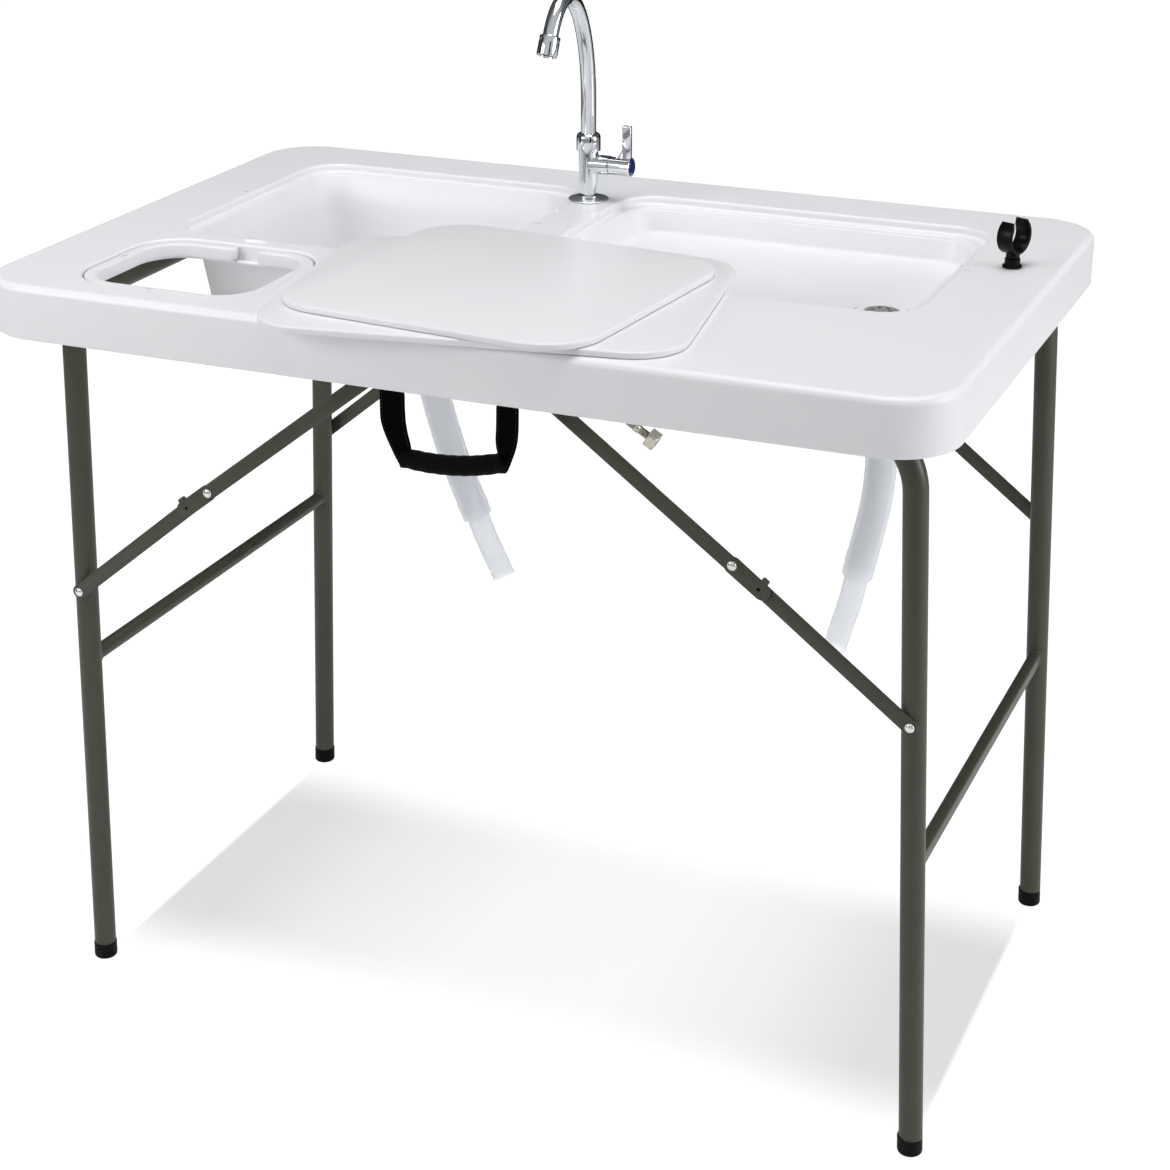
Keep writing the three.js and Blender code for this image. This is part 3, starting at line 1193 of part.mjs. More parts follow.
// Drains: a flange with its tail through the floor, a nut under the basin and a strainer
function drain(name, x, floor) {
  const seat = floor - DRAIN_SEAT_DEPTH + SEAT;
  const rim = seat + DRAIN_FLANGE_THICKNESS;
  const underside = floor - TUB_WALL;
  const tail = underside - DRAIN_TAIL_BELOW;
  const group = new THREE.Group();
  group.position.set(x, DRAIN_Y, 0);
  table.add(group);
  add(`${name}_flange`, turned([
    [DRAIN_BORE_RADIUS, tail],
    [DRAIN_TAIL_RADIUS, tail],
    [DRAIN_TAIL_RADIUS, seat],
    [DRAIN_FLANGE_RADIUS, seat],
    [DRAIN_FLANGE_RADIUS, rim - SEAT],
    [DRAIN_FLANGE_RADIUS - DRAIN_FLANGE_THICKNESS, rim],
    [STRAINER_LIP_RADIUS + STRAINER_CLEARANCE, rim - STRAINER_LIP_THICKNESS],
    [DRAIN_BORE_RADIUS, rim - STRAINER_LIP_THICKNESS],
    [DRAIN_BORE_RADIUS, tail],
  ], FINE_SIDES), WHITE_PLASTIC, group);
  const lip = rim - STRAINER_LIP_THICKNESS + SEAT;
  const plug = DRAIN_BORE_RADIUS - STRAINER_CLEARANCE;
  const cup = turned([
    [0, lip - STRAINER_DEPTH],
    [plug, lip - STRAINER_DEPTH],
    [plug, lip],
    [STRAINER_LIP_RADIUS, lip],
    [STRAINER_LIP_RADIUS, lip + STRAINER_LIP_THICKNESS / 2],
    [STRAINER_LIP_RADIUS - STRAINER_LIP_THICKNESS, lip + STRAINER_LIP_THICKNESS],
    [0, lip + STRAINER_LIP_THICKNESS],
  ], FINE_SIDES);
  const holes = Array.from({ length: STRAINER_HOLES }, (_, k) => {
    const angle = (k / STRAINER_HOLES) * 2 * Math.PI;
    const holeX = STRAINER_HOLE_CIRCLE * Math.cos(angle);
    const holeY = STRAINER_HOLE_CIRCLE * Math.sin(angle);
    return rod(
      new THREE.Vector3(holeX, holeY, lip - STRAINER_DEPTH - OVERRUN),
      new THREE.Vector3(holeX, holeY, lip + STRAINER_LIP_THICKNESS + OVERRUN),
      STRAINER_HOLE_RADIUS,
      6,
    );
  });
  add(`${name}_strainer`, geometryOf(without(solid(cup), holes)), BRACKET_STEEL, group);
  const nutTop = underside - SEAT;
  add(
    `${name}_nut`,
    nutShape(DRAIN_NUT_RADIUS, DRAIN_TAIL_RADIUS + DRAIN_HOLE_CLEARANCE, nutTop - DRAIN_NUT_HEIGHT, nutTop, 8),
    WHITE_PLASTIC,
    group,
  );
  return tail;
}

const deepTail = drain('deep_drain', DEEP_DRAIN_X, DEEP_DRAIN_Z);
const shallowTail = drain('shallow_drain', SHALLOW_DRAIN_X, SHALLOW_DRAIN_Z);

// Hoses hang free, so their routes are chosen places, counted from where they hang
function placesFrom(start, run) {
  return run.map((offset) => new THREE.Vector3(...offset).add(start));
}

// Each hose pair starts under its fitting, and the narrower hose goes on from the end of the
// sleeve.
function hosePair(name, x, tail, sleeveRun, hoseRun) {
  const origin = new THREE.Vector3(x, DRAIN_Y, tail);
  const start = new THREE.Vector3(x, DRAIN_Y, tail - SEAT);
  const straight = new THREE.Vector3(x, DRAIN_Y, tail - SEAT - 2 * SLEEVE_RADIUS);
  const sleeve = [start, ...smoothRun([straight, ...placesFrom(origin, sleeveRun)], 7)];
  const end = sleeve[sleeve.length - 1];
  const direction = end.clone().sub(sleeve[sleeve.length - 2]).normalize();
  const first = end.clone().addScaledVector(direction, SEAT);
  const second = first.clone().addScaledVector(direction, 2 * HOSE_RADIUS);
  add(`${name}_sleeve`, sweep(sleeve, SLEEVE_RADIUS, HOSE_SIDES), CLEAR_HOSE);
  const hose = [first, ...smoothRun([second, ...placesFrom(origin, hoseRun)], 3)];
  add(`${name}_hose`, sweep(hose, HOSE_RADIUS, HOSE_SIDES), CLEAR_HOSE);
}

hosePair('deep_drain', DEEP_DRAIN_X, deepTail, DEEP_SLEEVE_RUN, DEEP_HOSE_RUN);
hosePair('shallow_drain', SHALLOW_DRAIN_X, shallowTail, SHALLOW_SLEEVE_RUN, SHALLOW_HOSE_RUN);

// The braided supply hose hangs from the tap's shank to a fitting with a loose hexagon nut
const fitting = new THREE.Group();
fitting.position.set(NUT_X, NUT_Y, NUT_Z);
fitting.rotation.y = FITTING_SLOPE;
table.add(fitting);
const stemEnd = -NUT_LENGTH / 2 + STEM_IN_NUT;
const stem = rod(
  new THREE.Vector3(stemEnd - STEM_LENGTH - STEM_IN_NUT, 0, 0),
  new THREE.Vector3(stemEnd, 0, 0),
  STEM_RADIUS,
  SMALL_SIDES,
);
add('supply_stem', stem, NICKEL, fitting);
const looseNut = nutShape(NUT_RADIUS, NUT_BORE, -NUT_LENGTH / 2, NUT_LENGTH / 2);
looseNut.rotateY(Math.PI / 2);
add('supply_nut', looseNut, NICKEL, fitting);
const hoseEnd = stemEnd - STEM_LENGTH - STEM_IN_NUT - SEAT;
const slope = new THREE.Vector3(Math.cos(FITTING_SLOPE), 0, -Math.sin(FITTING_SLOPE));
const supplyEnd = new THREE.Vector3(NUT_X, NUT_Y, NUT_Z).addScaledVector(slope, hoseEnd);
const supplyBefore = supplyEnd.clone().addScaledVector(slope, -2 * SUPPLY_RADIUS);
const supplyTop = new THREE.Vector3(TAP_X, TAP_Y, SLAB_BOTTOM - TAP_SHANK_BELOW);
const supplyBelow = supplyTop.clone().setZ(supplyTop.z - 2 * SUPPLY_RADIUS);
const supplyRun = smoothRun([supplyBelow, ...placesFrom(supplyTop, SUPPLY_RUN), supplyBefore], 12);
add('supply_hose', sweep([supplyTop, ...supplyRun, supplyEnd], SUPPLY_RADIUS, HOSE_SIDES), BRAID);

// The origin goes to the middle of the whole, on the floor
const bounds = new THREE.Box3().setFromObject(table);
const middle = bounds.getCenter(new THREE.Vector3());
table.position.set(-middle.x, -middle.y, -bounds.min.z);

export default table;
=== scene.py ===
# %% [markdown]
# # A folding table for cleaning fish
#
# The real table is a white top moulded in one piece, with two basins and a hole for a waste
# bag, on two folding frames of painted tube. A chrome gooseneck tap, two drain hoses, a
# carry handle, a rod clip and two loose cutting boards go with it. The plain solids of all
# these pieces are already in place. This lesson lays a fine surface over them: softly
# rounded edges, smooth tubes, rivets, welds, webbing, and a finish for each material.

# %% Load the plain solids
import json
import math

import bmesh
import bpy
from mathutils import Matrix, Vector
from mathutils.geometry import delaunay_2d_cdt

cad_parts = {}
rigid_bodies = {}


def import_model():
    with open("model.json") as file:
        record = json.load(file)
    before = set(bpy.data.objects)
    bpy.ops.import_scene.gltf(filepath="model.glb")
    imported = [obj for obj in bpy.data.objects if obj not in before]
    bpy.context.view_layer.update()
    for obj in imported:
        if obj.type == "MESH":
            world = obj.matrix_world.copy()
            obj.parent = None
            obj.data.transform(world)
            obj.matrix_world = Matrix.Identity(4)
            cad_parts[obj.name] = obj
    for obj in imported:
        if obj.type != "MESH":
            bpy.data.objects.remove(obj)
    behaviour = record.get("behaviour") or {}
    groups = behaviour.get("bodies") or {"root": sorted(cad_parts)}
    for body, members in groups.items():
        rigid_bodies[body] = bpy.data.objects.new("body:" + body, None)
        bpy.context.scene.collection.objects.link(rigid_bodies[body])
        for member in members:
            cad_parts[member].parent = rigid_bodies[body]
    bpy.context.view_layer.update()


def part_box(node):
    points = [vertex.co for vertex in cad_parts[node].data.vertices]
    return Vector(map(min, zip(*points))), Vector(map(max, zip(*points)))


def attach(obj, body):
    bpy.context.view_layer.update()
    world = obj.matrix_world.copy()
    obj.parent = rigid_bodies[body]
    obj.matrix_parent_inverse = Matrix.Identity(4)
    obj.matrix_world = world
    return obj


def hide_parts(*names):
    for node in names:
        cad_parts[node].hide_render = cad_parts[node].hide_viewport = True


for leftover in list(bpy.data.objects):
    bpy.data.objects.remove(leftover)
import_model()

# %% [markdown]
# ## The drawing
#
# The drawing is in millimetres, with its zero on the floor under the middle of the top.
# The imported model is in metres, with its zero under the middle of everything. So each place
# is written as on the drawing and moved by one helper, which keeps the numbers readable.

# %% Places on the drawing
MM = 0.001
top_low, top_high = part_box("table_top")
drawing_zero = Vector(((top_low.x + top_high.x) / 2, (top_low.y + top_high.y) / 2, 0))
TOP_HEIGHT = 940
RIGHT = Vector((1, 0, 0))
BACK = Vector((0, 1, 0))
UP = Vector((0, 0, 1))


def at(x, y, z):
    """A place on the drawing, in millimetres, as a place in the model, in metres."""
    return drawing_zero + Vector((x, y, z)) * MM


print("drawing's zero in the model:", [round(v, 4) for v in drawing_zero])

# %% [markdown]
# ## The camera
#
# The photograph was taken from the front and a little to the right, well above the table,
# with a long lens. Its place and turn were worked out from the outline of the top, the feet
# and the rivets. The lens follows from the distance in pixels at which the picture would
# hang: that distance over the picture's width is the lens over the sensor's width.

# %% Camera
PICTURE_WIDTH = 1170
PICTURE_DISTANCE = 2382.7
CAMERA_YAW = -0.3974
CAMERA_PITCH = 0.4079
SENSOR_WIDTH = 36
CAMERA_PLACE = (1107.1, -2556.8, 1705.1)

camera_data = bpy.data.cameras.new("camera")
camera_data.sensor_width = SENSOR_WIDTH
camera_data.lens = PICTURE_DISTANCE * SENSOR_WIDTH / PICTURE_WIDTH
camera = bpy.data.objects.new("camera", camera_data)
bpy.context.scene.collection.objects.link(camera)
camera.location = at(*CAMERA_PLACE)
looking = Vector((
    math.sin(CAMERA_YAW) * math.cos(CAMERA_PITCH),
    math.cos(CAMERA_YAW) * math.cos(CAMERA_PITCH),
    -math.sin(CAMERA_PITCH),
))
camera.rotation_euler = looking.to_track_quat("-Z", "Y").to_euler()
bpy.context.scene.camera = camera
bpy.context.scene.view_settings.view_transform = "Standard"
print("lens:", round(camera_data.lens, 1), "mm")

# %% [markdown]
# ## Nodes
#
# The world, the finishes and the repeated rivets are all made of nodes. One helper adds a
# node with its fields and its inputs: a socket is linked and anything else is set. So a tree
# reads from top to bottom, like the sums that it stands for.

# %% Helpers for nodes


def added(tree, kind, values=None, **fields):
    """A new node in a tree, with its own fields and the values of its inputs."""
    node = tree.nodes.new(kind)
    for field, value in fields.items():
        setattr(node, field, value)
    for label, value in (values or {}).items():
        if isinstance(value, bpy.types.NodeSocket):
            tree.links.new(value, node.inputs[label])
        else:
            node.inputs[label].default_value = value
    return node


def maths(tree, operation, *values):
    """A Math node on sockets or plain numbers; returns its output."""
    return added(tree, "ShaderNodeMath", dict(enumerate(values)), operation=operation).outputs[0]


def ramped(tree, value, low, high, first=0, last=1, smooth=True):
    """A value from low to high as one from first to last, kept between them."""
    limits = {"Value": value, "From Min": low, "From Max": high, "To Min": first, "To Max": last}
    kind = "SMOOTHSTEP" if smooth else "LINEAR"
    return added(tree, "ShaderNodeMapRange", limits, interpolation_type=kind).outputs["Result"]


def mixed(tree, share, *colours):
    """Two colours, each a socket or three numbers, mixed by a share; returns the colour."""
    first, second = [c if isinstance(c, bpy.types.NodeSocket) else (*c, 1) for c in colours]
    return added(tree, "ShaderNodeMix", {0: share, 6: first, 7: second}, data_type="RGBA").outputs[2]


def noise(tree, place, scale, detail, roughness=0.5):
    """A noise texture; returns its factor."""
    values = {"Vector": place, "Scale": scale, "Detail": detail, "Roughness": roughness}
    return added(tree, "ShaderNodeTexNoise", values).outputs["Fac"]


def coordinates(tree, kind="Object"):
    """Where a place lies, in the texture's own space."""
    return added(tree, "ShaderNodeTexCoord").outputs[kind]


print("node helpers ready")

# %% [markdown]
# ## Light and floor
#
# It is a catalogue picture: a white sweep, soft light from everywhere, a wide lamp overhead,
# one at the right end and a small one at the front left. The camera and the clear hoses see
# a pure white world, but it lights the table at a lower strength, so that the colours come
# out as they are written. Polished chrome only looks like chrome when it has something dark
# to mirror, as in a photo studio: its reflections see a world that is darker behind the
# table, and a few dark boards that nothing else sees.

# %% World
WORLD_STRENGTH = 0.28
MIRROR_BEFORE = 0.62
MIRROR_BEHIND = 0.09
MIRROR_TURNS = (-0.7, 0.2)

world = bpy.data.worlds.new("studio")
bpy.context.scene.world = world
world.use_nodes = True
tree = world.node_tree
tree.nodes.clear()
rays = added(tree, "ShaderNodeLightPath").outputs
soft_light = added(tree, "ShaderNodeBackground", {"Color": (0.97, 0.985, 1, 1), "Strength": WORLD_STRENGTH})
white = added(tree, "ShaderNodeBackground", {"Color": (1, 1, 1, 1), "Strength": 1})
clear = maths(tree, "MAXIMUM", rays["Is Camera Ray"], rays["Is Transmission Ray"])
lit = added(tree, "ShaderNodeMixShader", {0: clear, 1: soft_light.outputs[0], 2: white.outputs[0]})
behind = (math.sin(CAMERA_YAW), math.cos(CAMERA_YAW), 0)
backward = added(
    tree, "ShaderNodeVectorMath", {0: coordinates(tree, "Generated"), 1: behind}, operation="DOT_PRODUCT",
)
dimmed = ramped(tree, backward.outputs["Value"], *MIRROR_TURNS, MIRROR_BEFORE, MIRROR_BEHIND)
mirrored = added(tree, "ShaderNodeBackground", {"Color": (0.96, 0.98, 1, 1), "Strength": dimmed})
chosen = added(
    tree, "ShaderNodeMixShader", {0: rays["Is Glossy Ray"], 1: lit.outputs[0], 2: mirrored.outputs[0]},
)
added(tree, "ShaderNodeOutputWorld", {"Surface": chosen.outputs[0]})
print("world:", len(tree.nodes), "nodes")

# %% Lamps


def lamp(name, place, target, size, power):
    """A square soft lamp that faces a target; lengths in metres."""
    data = bpy.data.lights.new(name, "AREA")
    data.size = size
    data.energy = power
    made = bpy.data.objects.new(name, data)
    bpy.context.scene.collection.objects.link(made)
    made.location = place
    made.rotation_euler = (Vector(target) - made.location).to_track_quat("-Z", "Y").to_euler()


lamp("key_lamp", (0.25, -0.3, 4.2), (0, 0, 0.7), 2.2, 80)
lamp("side_lamp", (4.2, 0.2, 1.6), (0, 0, 0.7), 2.0, 84)
lamp("left_lamp", (-1.5, -1.8, 1.7), (-0.6, -0.4, 0.9), 1.0, 21)
print("lamps: 3")

# %% Floor, with a pale shadow painted between the feet
GLOW_SHARE = 0.82
GLOW_STRENGTH = 1.2
PAPER = (0.93, 0.93, 0.93, 1)
FEET_LEFT = at(-528.5, 0, 0).x
FEET_RIGHT = at(572, 0, 0).x
FEET_FRONT = at(0, -303, 0).y
FEET_BACK = at(0, 303, 0).y
# Painted shadow: these levels darken the floor's colour between the four feet, from the left feet to the
# right feet, darkest at both ends. The lamps' real shadow shows only faintly, through the floor's small
# diffuse share.
PAINTED_FOOTPRINT_SHADE = [
    (0, 0.63), (0.07, 0.64), (0.2, 0.75), (0.4, 0.85), (0.6, 0.86), (0.76, 0.79), (0.9, 0.65), (1, 0.62),
]
FLOOR_REACH = 30


def stage_sheet(name, corners, material):
    """A flat sheet of the set, which isn't part of the table."""
    mesh = bpy.data.meshes.new(name)
    mesh.from_pydata([tuple(corner) for corner in corners], [], [(0, 1, 2, 3)])
    mesh.materials.append(material)
    made = bpy.data.objects.new(name, mesh)
    bpy.context.scene.collection.objects.link(made)
    return made


floor_with_painted_shade = bpy.data.materials.new("white_sweep_painted_shade")
floor_with_painted_shade.use_nodes = True
tree = floor_with_painted_shade.node_tree
tree.nodes.clear()
spot = added(tree, "ShaderNodeSeparateXYZ", {0: coordinates(tree)}).outputs
# The mask of the painted shadow: sharp along the lines of the feet at the left and right, soft towards the
# front and back.
painted_shade_mask = maths(
    tree, "MULTIPLY",
    ramped(tree, spot["X"], FEET_LEFT - 0.004, FEET_LEFT + 0.006),
    ramped(tree, spot["X"], FEET_RIGHT + 0.004, FEET_RIGHT - 0.006),
)
for outside, within in ((FEET_FRONT - 0.02, FEET_FRONT + 0.16), (FEET_BACK + 0.02, FEET_BACK - 0.16)):
    painted_shade_mask = maths(tree, "MULTIPLY", painted_shade_mask, ramped(tree, spot["Y"], outside, within))
between_feet = ramped(tree, spot["X"], FEET_LEFT, FEET_RIGHT, smooth=False)
along = added(tree, "ShaderNodeValToRGB", {"Fac": between_feet})
stops = along.color_ramp.elements
for k, (where, level) in enumerate(PAINTED_FOOTPRINT_SHADE):
    stop = stops[k] if k < 2 else stops.new(where)
    stop.position = where
    stop.color = (level, level, level, 1)
# The floor's colour with the painted shadow, which the camera sees through the glow.
painted_shade = mixed(tree, painted_shade_mask, (1, 1, 1), along.outputs["Color"])
glow = added(tree, "ShaderNodeEmission", {"Color": painted_shade, "Strength": GLOW_STRENGTH})
paper = added(tree, "ShaderNodeBsdfDiffuse", {"Color": PAPER})
rays = added(tree, "ShaderNodeLightPath").outputs
clear = maths(tree, "MAXIMUM", rays["Is Camera Ray"], rays["Is Transmission Ray"])
seen = added(tree, "ShaderNodeMixShader", {
    0: maths(tree, "MULTIPLY", clear, GLOW_SHARE), 1: paper.outputs[0], 2: glow.outputs[0],
})
added(tree, "ShaderNodeOutputMaterial", {"Surface": seen.outputs[0]})
SQUARE = ((-1, -1), (1, -1), (1, 1), (-1, 1))
stage_sheet("floor", [(i * FLOOR_REACH, j * FLOOR_REACH, 0) for i, j in SQUARE], floor_with_painted_shade)
print("floor:", 2 * FLOOR_REACH, "m wide")

# %% Dark boards that only reflections see
dark_finish = bpy.data.materials.new("dark_board")
dark_finish.use_nodes = True
for label, value in (("Base Color", (0.012, 0.013, 0.015, 1)), ("Roughness", 1), ("Specular IOR Level", 0)):
    dark_finish.node_tree.nodes["Principled BSDF"].inputs[label].default_value = value
DARK_BOARDS = {
    "board_left": ((-2.4, -0.9, 1.3), (0.14, -0.42, 0), (0, 0, 1.2)),
    "board_right": ((1.9, -2.0, 1.4), (0.38, 0.14, 0), (0, 0, 1.2)),
    "board_rear": ((-0.6, 2.3, 0.9), (3.1, 1.3, 0), (0, 0, 0.89)),
}
for name, measures in DARK_BOARDS.items():
    centre, across, up = [Vector(measure) for measure in measures]
    made = stage_sheet(name, [centre + across * i + up * j for i, j in SQUARE], dark_finish)
    for ray in ("camera", "diffuse", "shadow", "transmission", "volume_scatter"):
        setattr(made, f"visible_{ray}", False)
print("dark boards:", len(DARK_BOARDS))

# %% [markdown]
# ## Shader groups
#
# Several finishes share an effect: the moulded plastics and the paint all have a fine skin,
# and every used surface has faint rubs that change its gloss. Each effect is one node group
# with named inputs, so a finish only chooses its numbers. A group gives heights, tones and
# masks; the shader itself stays in the material.

# %% A helper for shader groups


def shader_group(name, inputs, outputs):
    """A new shader group with float inputs and outputs; returns its tree and its inputs."""
    tree = bpy.data.node_groups.new(name, "ShaderNodeTree")
    for label, value in inputs.items():
        made = tree.interface.new_socket(label, in_out="INPUT", socket_type="NodeSocketFloat")
        made.default_value = value
    for label in outputs:
        tree.interface.new_socket(label, in_out="OUTPUT", socket_type="NodeSocketFloat")
    return tree, added(tree, "NodeGroupInput").outputs


# %% Moulded skin: fine pebble on broad, faint waves
skin_tree, given = shader_group(
    "moulded_skin",
    {"Pebbles per metre": 900, "Pebble height": 1, "Waves per metre": 9, "Wave height": 1},
    ["Height", "Tone"],
)
place = coordinates(skin_tree)
pebbles = noise(skin_tree, place, given["Pebbles per metre"], 3, 0.55)
waves = noise(skin_tree, place, given["Waves per metre"], 1)
fine = maths(skin_tree, "MULTIPLY", pebbles, given["Pebble height"])
height = maths(skin_tree, "MULTIPLY_ADD", waves, given["Wave height"], fine)
added(skin_tree, "NodeGroupOutput", {"Height": height, "Tone": waves})

# %% Rubs: soft patches and short fine scratches that change the gloss
rub_tree, given = shader_group(
    "rubs", {"Patches per metre": 14, "Scratches per metre": 260, "Amount": 0.5}, ["Mask"],
)
place = coordinates(rub_tree)
patches = noise(rub_tree, place, given["Patches per metre"], 4, 0.6)
stretched = added(
    rub_tree, "ShaderNodeMapping", {"Vector": place, "Scale": (1, 0.12, 0.4), "Rotation": (0, 0, 0.6)},
)
scratches = noise(rub_tree, stretched.outputs["Vector"], given["Scratches per metre"], 2, 0.7)
rubbed = maths(rub_tree, "ADD", patches, maths(rub_tree, "POWER", scratches, 4))
added(rub_tree, "NodeGroupOutput", {"Mask": maths(rub_tree, "MULTIPLY", rubbed, given["Amount"])})

# %% Weave: two sets of threads that pass over and under each other, on the piece's own map
weave_tree, given = shader_group(
    "weave", {"Threads across": 900, "Threads along": 900, "Turn": 0}, ["Height", "Tone"],
)
own_map = coordinates(weave_tree, "UV")
turned = added(weave_tree, "ShaderNodeVectorRotate", {
    "Vector": own_map, "Angle": given["Turn"],
}, rotation_type="Z_AXIS")
parts = added(weave_tree, "ShaderNodeSeparateXYZ", {"Vector": turned.outputs["Vector"]}).outputs
threads = []
cells = []
for axis, label in (("X", "Threads across"), ("Y", "Threads along")):
    count = maths(weave_tree, "MULTIPLY", parts[axis], given[label])
    wave = maths(weave_tree, "SINE", maths(weave_tree, "MULTIPLY", count, math.pi))
    threads.append(maths(weave_tree, "ABSOLUTE", wave))
    cells.append(maths(weave_tree, "FLOOR", count))
on_top = maths(weave_tree, "FLOORED_MODULO", maths(weave_tree, "ADD", *cells), 2)
lifted = added(
    weave_tree, "ShaderNodeMix", {0: on_top, 2: threads[0], 3: threads[1]}, data_type="FLOAT",
).outputs[0]
fuzz = noise(weave_tree, own_map, 2600, 3, 0.7)
added(weave_tree, "NodeGroupOutput", {"Height": lifted, "Tone": maths(weave_tree, "MULTIPLY", lifted, fuzz)})

# %% Edge wear: where a surface turns sharply outward, the finish is rubbed brighter
FLAT_POINTINESS = 0.53
wear_tree, given = shader_group("edge_wear", {"Sharpness": 14, "Amount": 0.5}, ["Mask"])
edges = added(wear_tree, "ShaderNodeNewGeometry").outputs["Pointiness"]
above_flat = maths(wear_tree, "SUBTRACT", edges, FLAT_POINTINESS)
raised = maths(wear_tree, "MULTIPLY", above_flat, given["Sharpness"])
kept = maths(wear_tree, "MINIMUM", maths(wear_tree, "MAXIMUM", raised, 0), 1)
broken = maths(wear_tree, "MULTIPLY", kept, noise(wear_tree, coordinates(wear_tree), 120, 3, 0.6))
added(wear_tree, "NodeGroupOutput", {"Mask": maths(wear_tree, "MULTIPLY", broken, given["Amount"])})
print("shader groups:", len(bpy.data.node_groups))

# %% [markdown]
# ## Finishes
#
# Each finish is one Principled shader. A skin or a weave feeds the Bump node, a mask moves
# the roughness between two values, and a tone mixes two close colours, because no real
# surface is one flat colour. Plain numbers such as the specular level stay on the shader.

# %% A helper that builds a finish
RUBS = (14, 260, 0.5)


def grouped(tree, group, values):
    """A shader group in a material, with values in the order of its inputs; returns its outputs."""
    return added(tree, "ShaderNodeGroup", dict(enumerate(values)), node_tree=group).outputs


def finish(name, colours, roughness, skin=None, weave=None, wear=None, bump=(0.2, 0.0002), metallic=0,
           plain=()):
    """A material from two close colours, a roughness range and the shared effects."""
    made = bpy.data.materials.new(name)
    made.use_nodes = True
    tree = made.node_tree
    shader = tree.nodes["Principled BSDF"]
    surface = grouped(tree, weave_tree, weave) if weave else grouped(tree, skin_tree, skin)
    colour = mixed(tree, surface["Tone"], *colours[:2])
    if wear:
        colour = mixed(tree, grouped(tree, wear_tree, wear)["Mask"], colour, colours[2])
    gloss = ramped(tree, grouped(tree, rub_tree, RUBS)["Mask"], 0, 1, *roughness, smooth=False)
    strength, distance = bump
    relief = added(
        tree, "ShaderNodeBump", {"Strength": strength, "Distance": distance, "Height": surface["Height"]},
    )
    for label, value in (("Base Color", colour), ("Roughness", gloss), ("Normal", relief.outputs["Normal"])):
        tree.links.new(value, shader.inputs[label])
    for label, value in (("Metallic", metallic), *plain):
        shader.inputs[label].default_value = value
    return made


# %% The table's finishes
white_plastic = finish(
    "white_plastic", [(0.795, 0.80, 0.82), (0.825, 0.825, 0.84)], (0.36, 0.5),
    skin=(1100, 1, 8, 0.6), bump=(0.16, 0.0003),
)
board_plastic = finish(
    "board_plastic", [(0.775, 0.775, 0.795), (0.80, 0.80, 0.815)], (0.34, 0.46),
    skin=(1500, 1, 6, 0.5), bump=(0.12, 0.0002),
)
frame_paint = finish(
    "frame_paint", [(0.055, 0.057, 0.040), (0.065, 0.067, 0.048), (0.13, 0.13, 0.115)], (0.3, 0.42),
    skin=(700, 1, 20, 0.4), wear=(10, 0.35), bump=(0.12, 0.0002), plain=[("Specular IOR Level", 0.3)],
)
plated_steel = finish(
    "plated_steel", [(0.60, 0.60, 0.58), (0.68, 0.68, 0.67)], (0.24, 0.42),
    skin=(900, 0.6, 60, 1), bump=(0.1, 0.0001), metallic=1.0,
)
rivet_steel = finish(
    "rivet_steel", [(0.76, 0.76, 0.75), (0.84, 0.84, 0.83)], (0.1, 0.22),
    skin=(600, 0.4, 90, 1), bump=(0.06, 0.0001), metallic=1.0,
)
black_plastic = finish(
    "black_plastic", [(0.0012, 0.0012, 0.0012), (0.003, 0.003, 0.0028), (0.016, 0.016, 0.016)], (0.26, 0.4),
    skin=(1300, 1, 40, 0.3), wear=(8, 0.3), bump=(0.2, 0.0002), plain=[("Specular IOR Level", 0.12)],
)
webbing_cloth = finish(
    "webbing_cloth", [(0.0012, 0.0012, 0.0013), (0.004, 0.004, 0.0042)], (0.72, 0.92),
    weave=(620, 900, 0), bump=(0.7, 0.0004), plain=[("Specular IOR Level", 0.02)],
)
grip_cloth = finish(
    "grip_cloth", [(0.0012, 0.0014, 0.0012), (0.004, 0.0045, 0.004)], (0.5, 0.72),
    weave=(1300, 1300, 0.785), bump=(0.6, 0.0003), plain=[("Specular IOR Level", 0.05)],
)
chrome = finish(
    "chrome", [(0.70, 0.72, 0.74), (0.78, 0.80, 0.82)], (0.03, 0.09),
    skin=(200, 0.2, 30, 0.5), bump=(0.02, 0.0001), metallic=1.0,
)
satin_chrome = finish(
    "satin_chrome", [(0.62, 0.63, 0.65), (0.72, 0.73, 0.75)], (0.4, 0.55),
    skin=(300, 0.2, 30, 0.5), bump=(0.02, 0.0001), metallic=1.0,
)
index_blue = finish(
    "index_blue", [(0.012, 0.02, 0.10), (0.02, 0.035, 0.15)], (0.12, 0.25),
    skin=(400, 0.4, 60, 0.5), bump=(0.05, 0.0001), plain=[("Coat Weight", 0.5)],
)
nickel = finish(
    "nickel", [(0.54, 0.51, 0.44), (0.66, 0.63, 0.55), (0.8, 0.78, 0.72)], (0.2, 0.4),
    skin=(900, 0.8, 120, 1), wear=(8, 0.5), bump=(0.15, 0.0002), metallic=1.0,
)
braid = finish(
    "braid", [(0.20, 0.20, 0.21), (0.62, 0.63, 0.65)], (0.26, 0.4),
    weave=(640, 640, 0.785), bump=(0.9, 0.0006), metallic=1.0,
)
milky_hose = finish(
    "milky_hose", [(0.94, 0.955, 0.98), (0.97, 0.98, 0.995)], (0.3, 0.44),
    skin=(300, 0.3, 18, 1), bump=(0.1, 0.0003), plain=[("Transmission Weight", 0.72), ("IOR", 1.12)],
)
print("finishes:", len([m for m in bpy.data.materials if m.users]))

# %% [markdown]
# ## Building shapes
#
# Most of these pieces are made of loops: an outline drawn again and again at new heights
# and insets, and joined by faces. It is the way a moulded part is drawn, and a rounded edge
# is only a few loops more. A piece's mesh is written in place and its object stays at the
# origin, so patterns that read Object coordinates lie still when the piece moves.

# %% Loops, edges and pieces


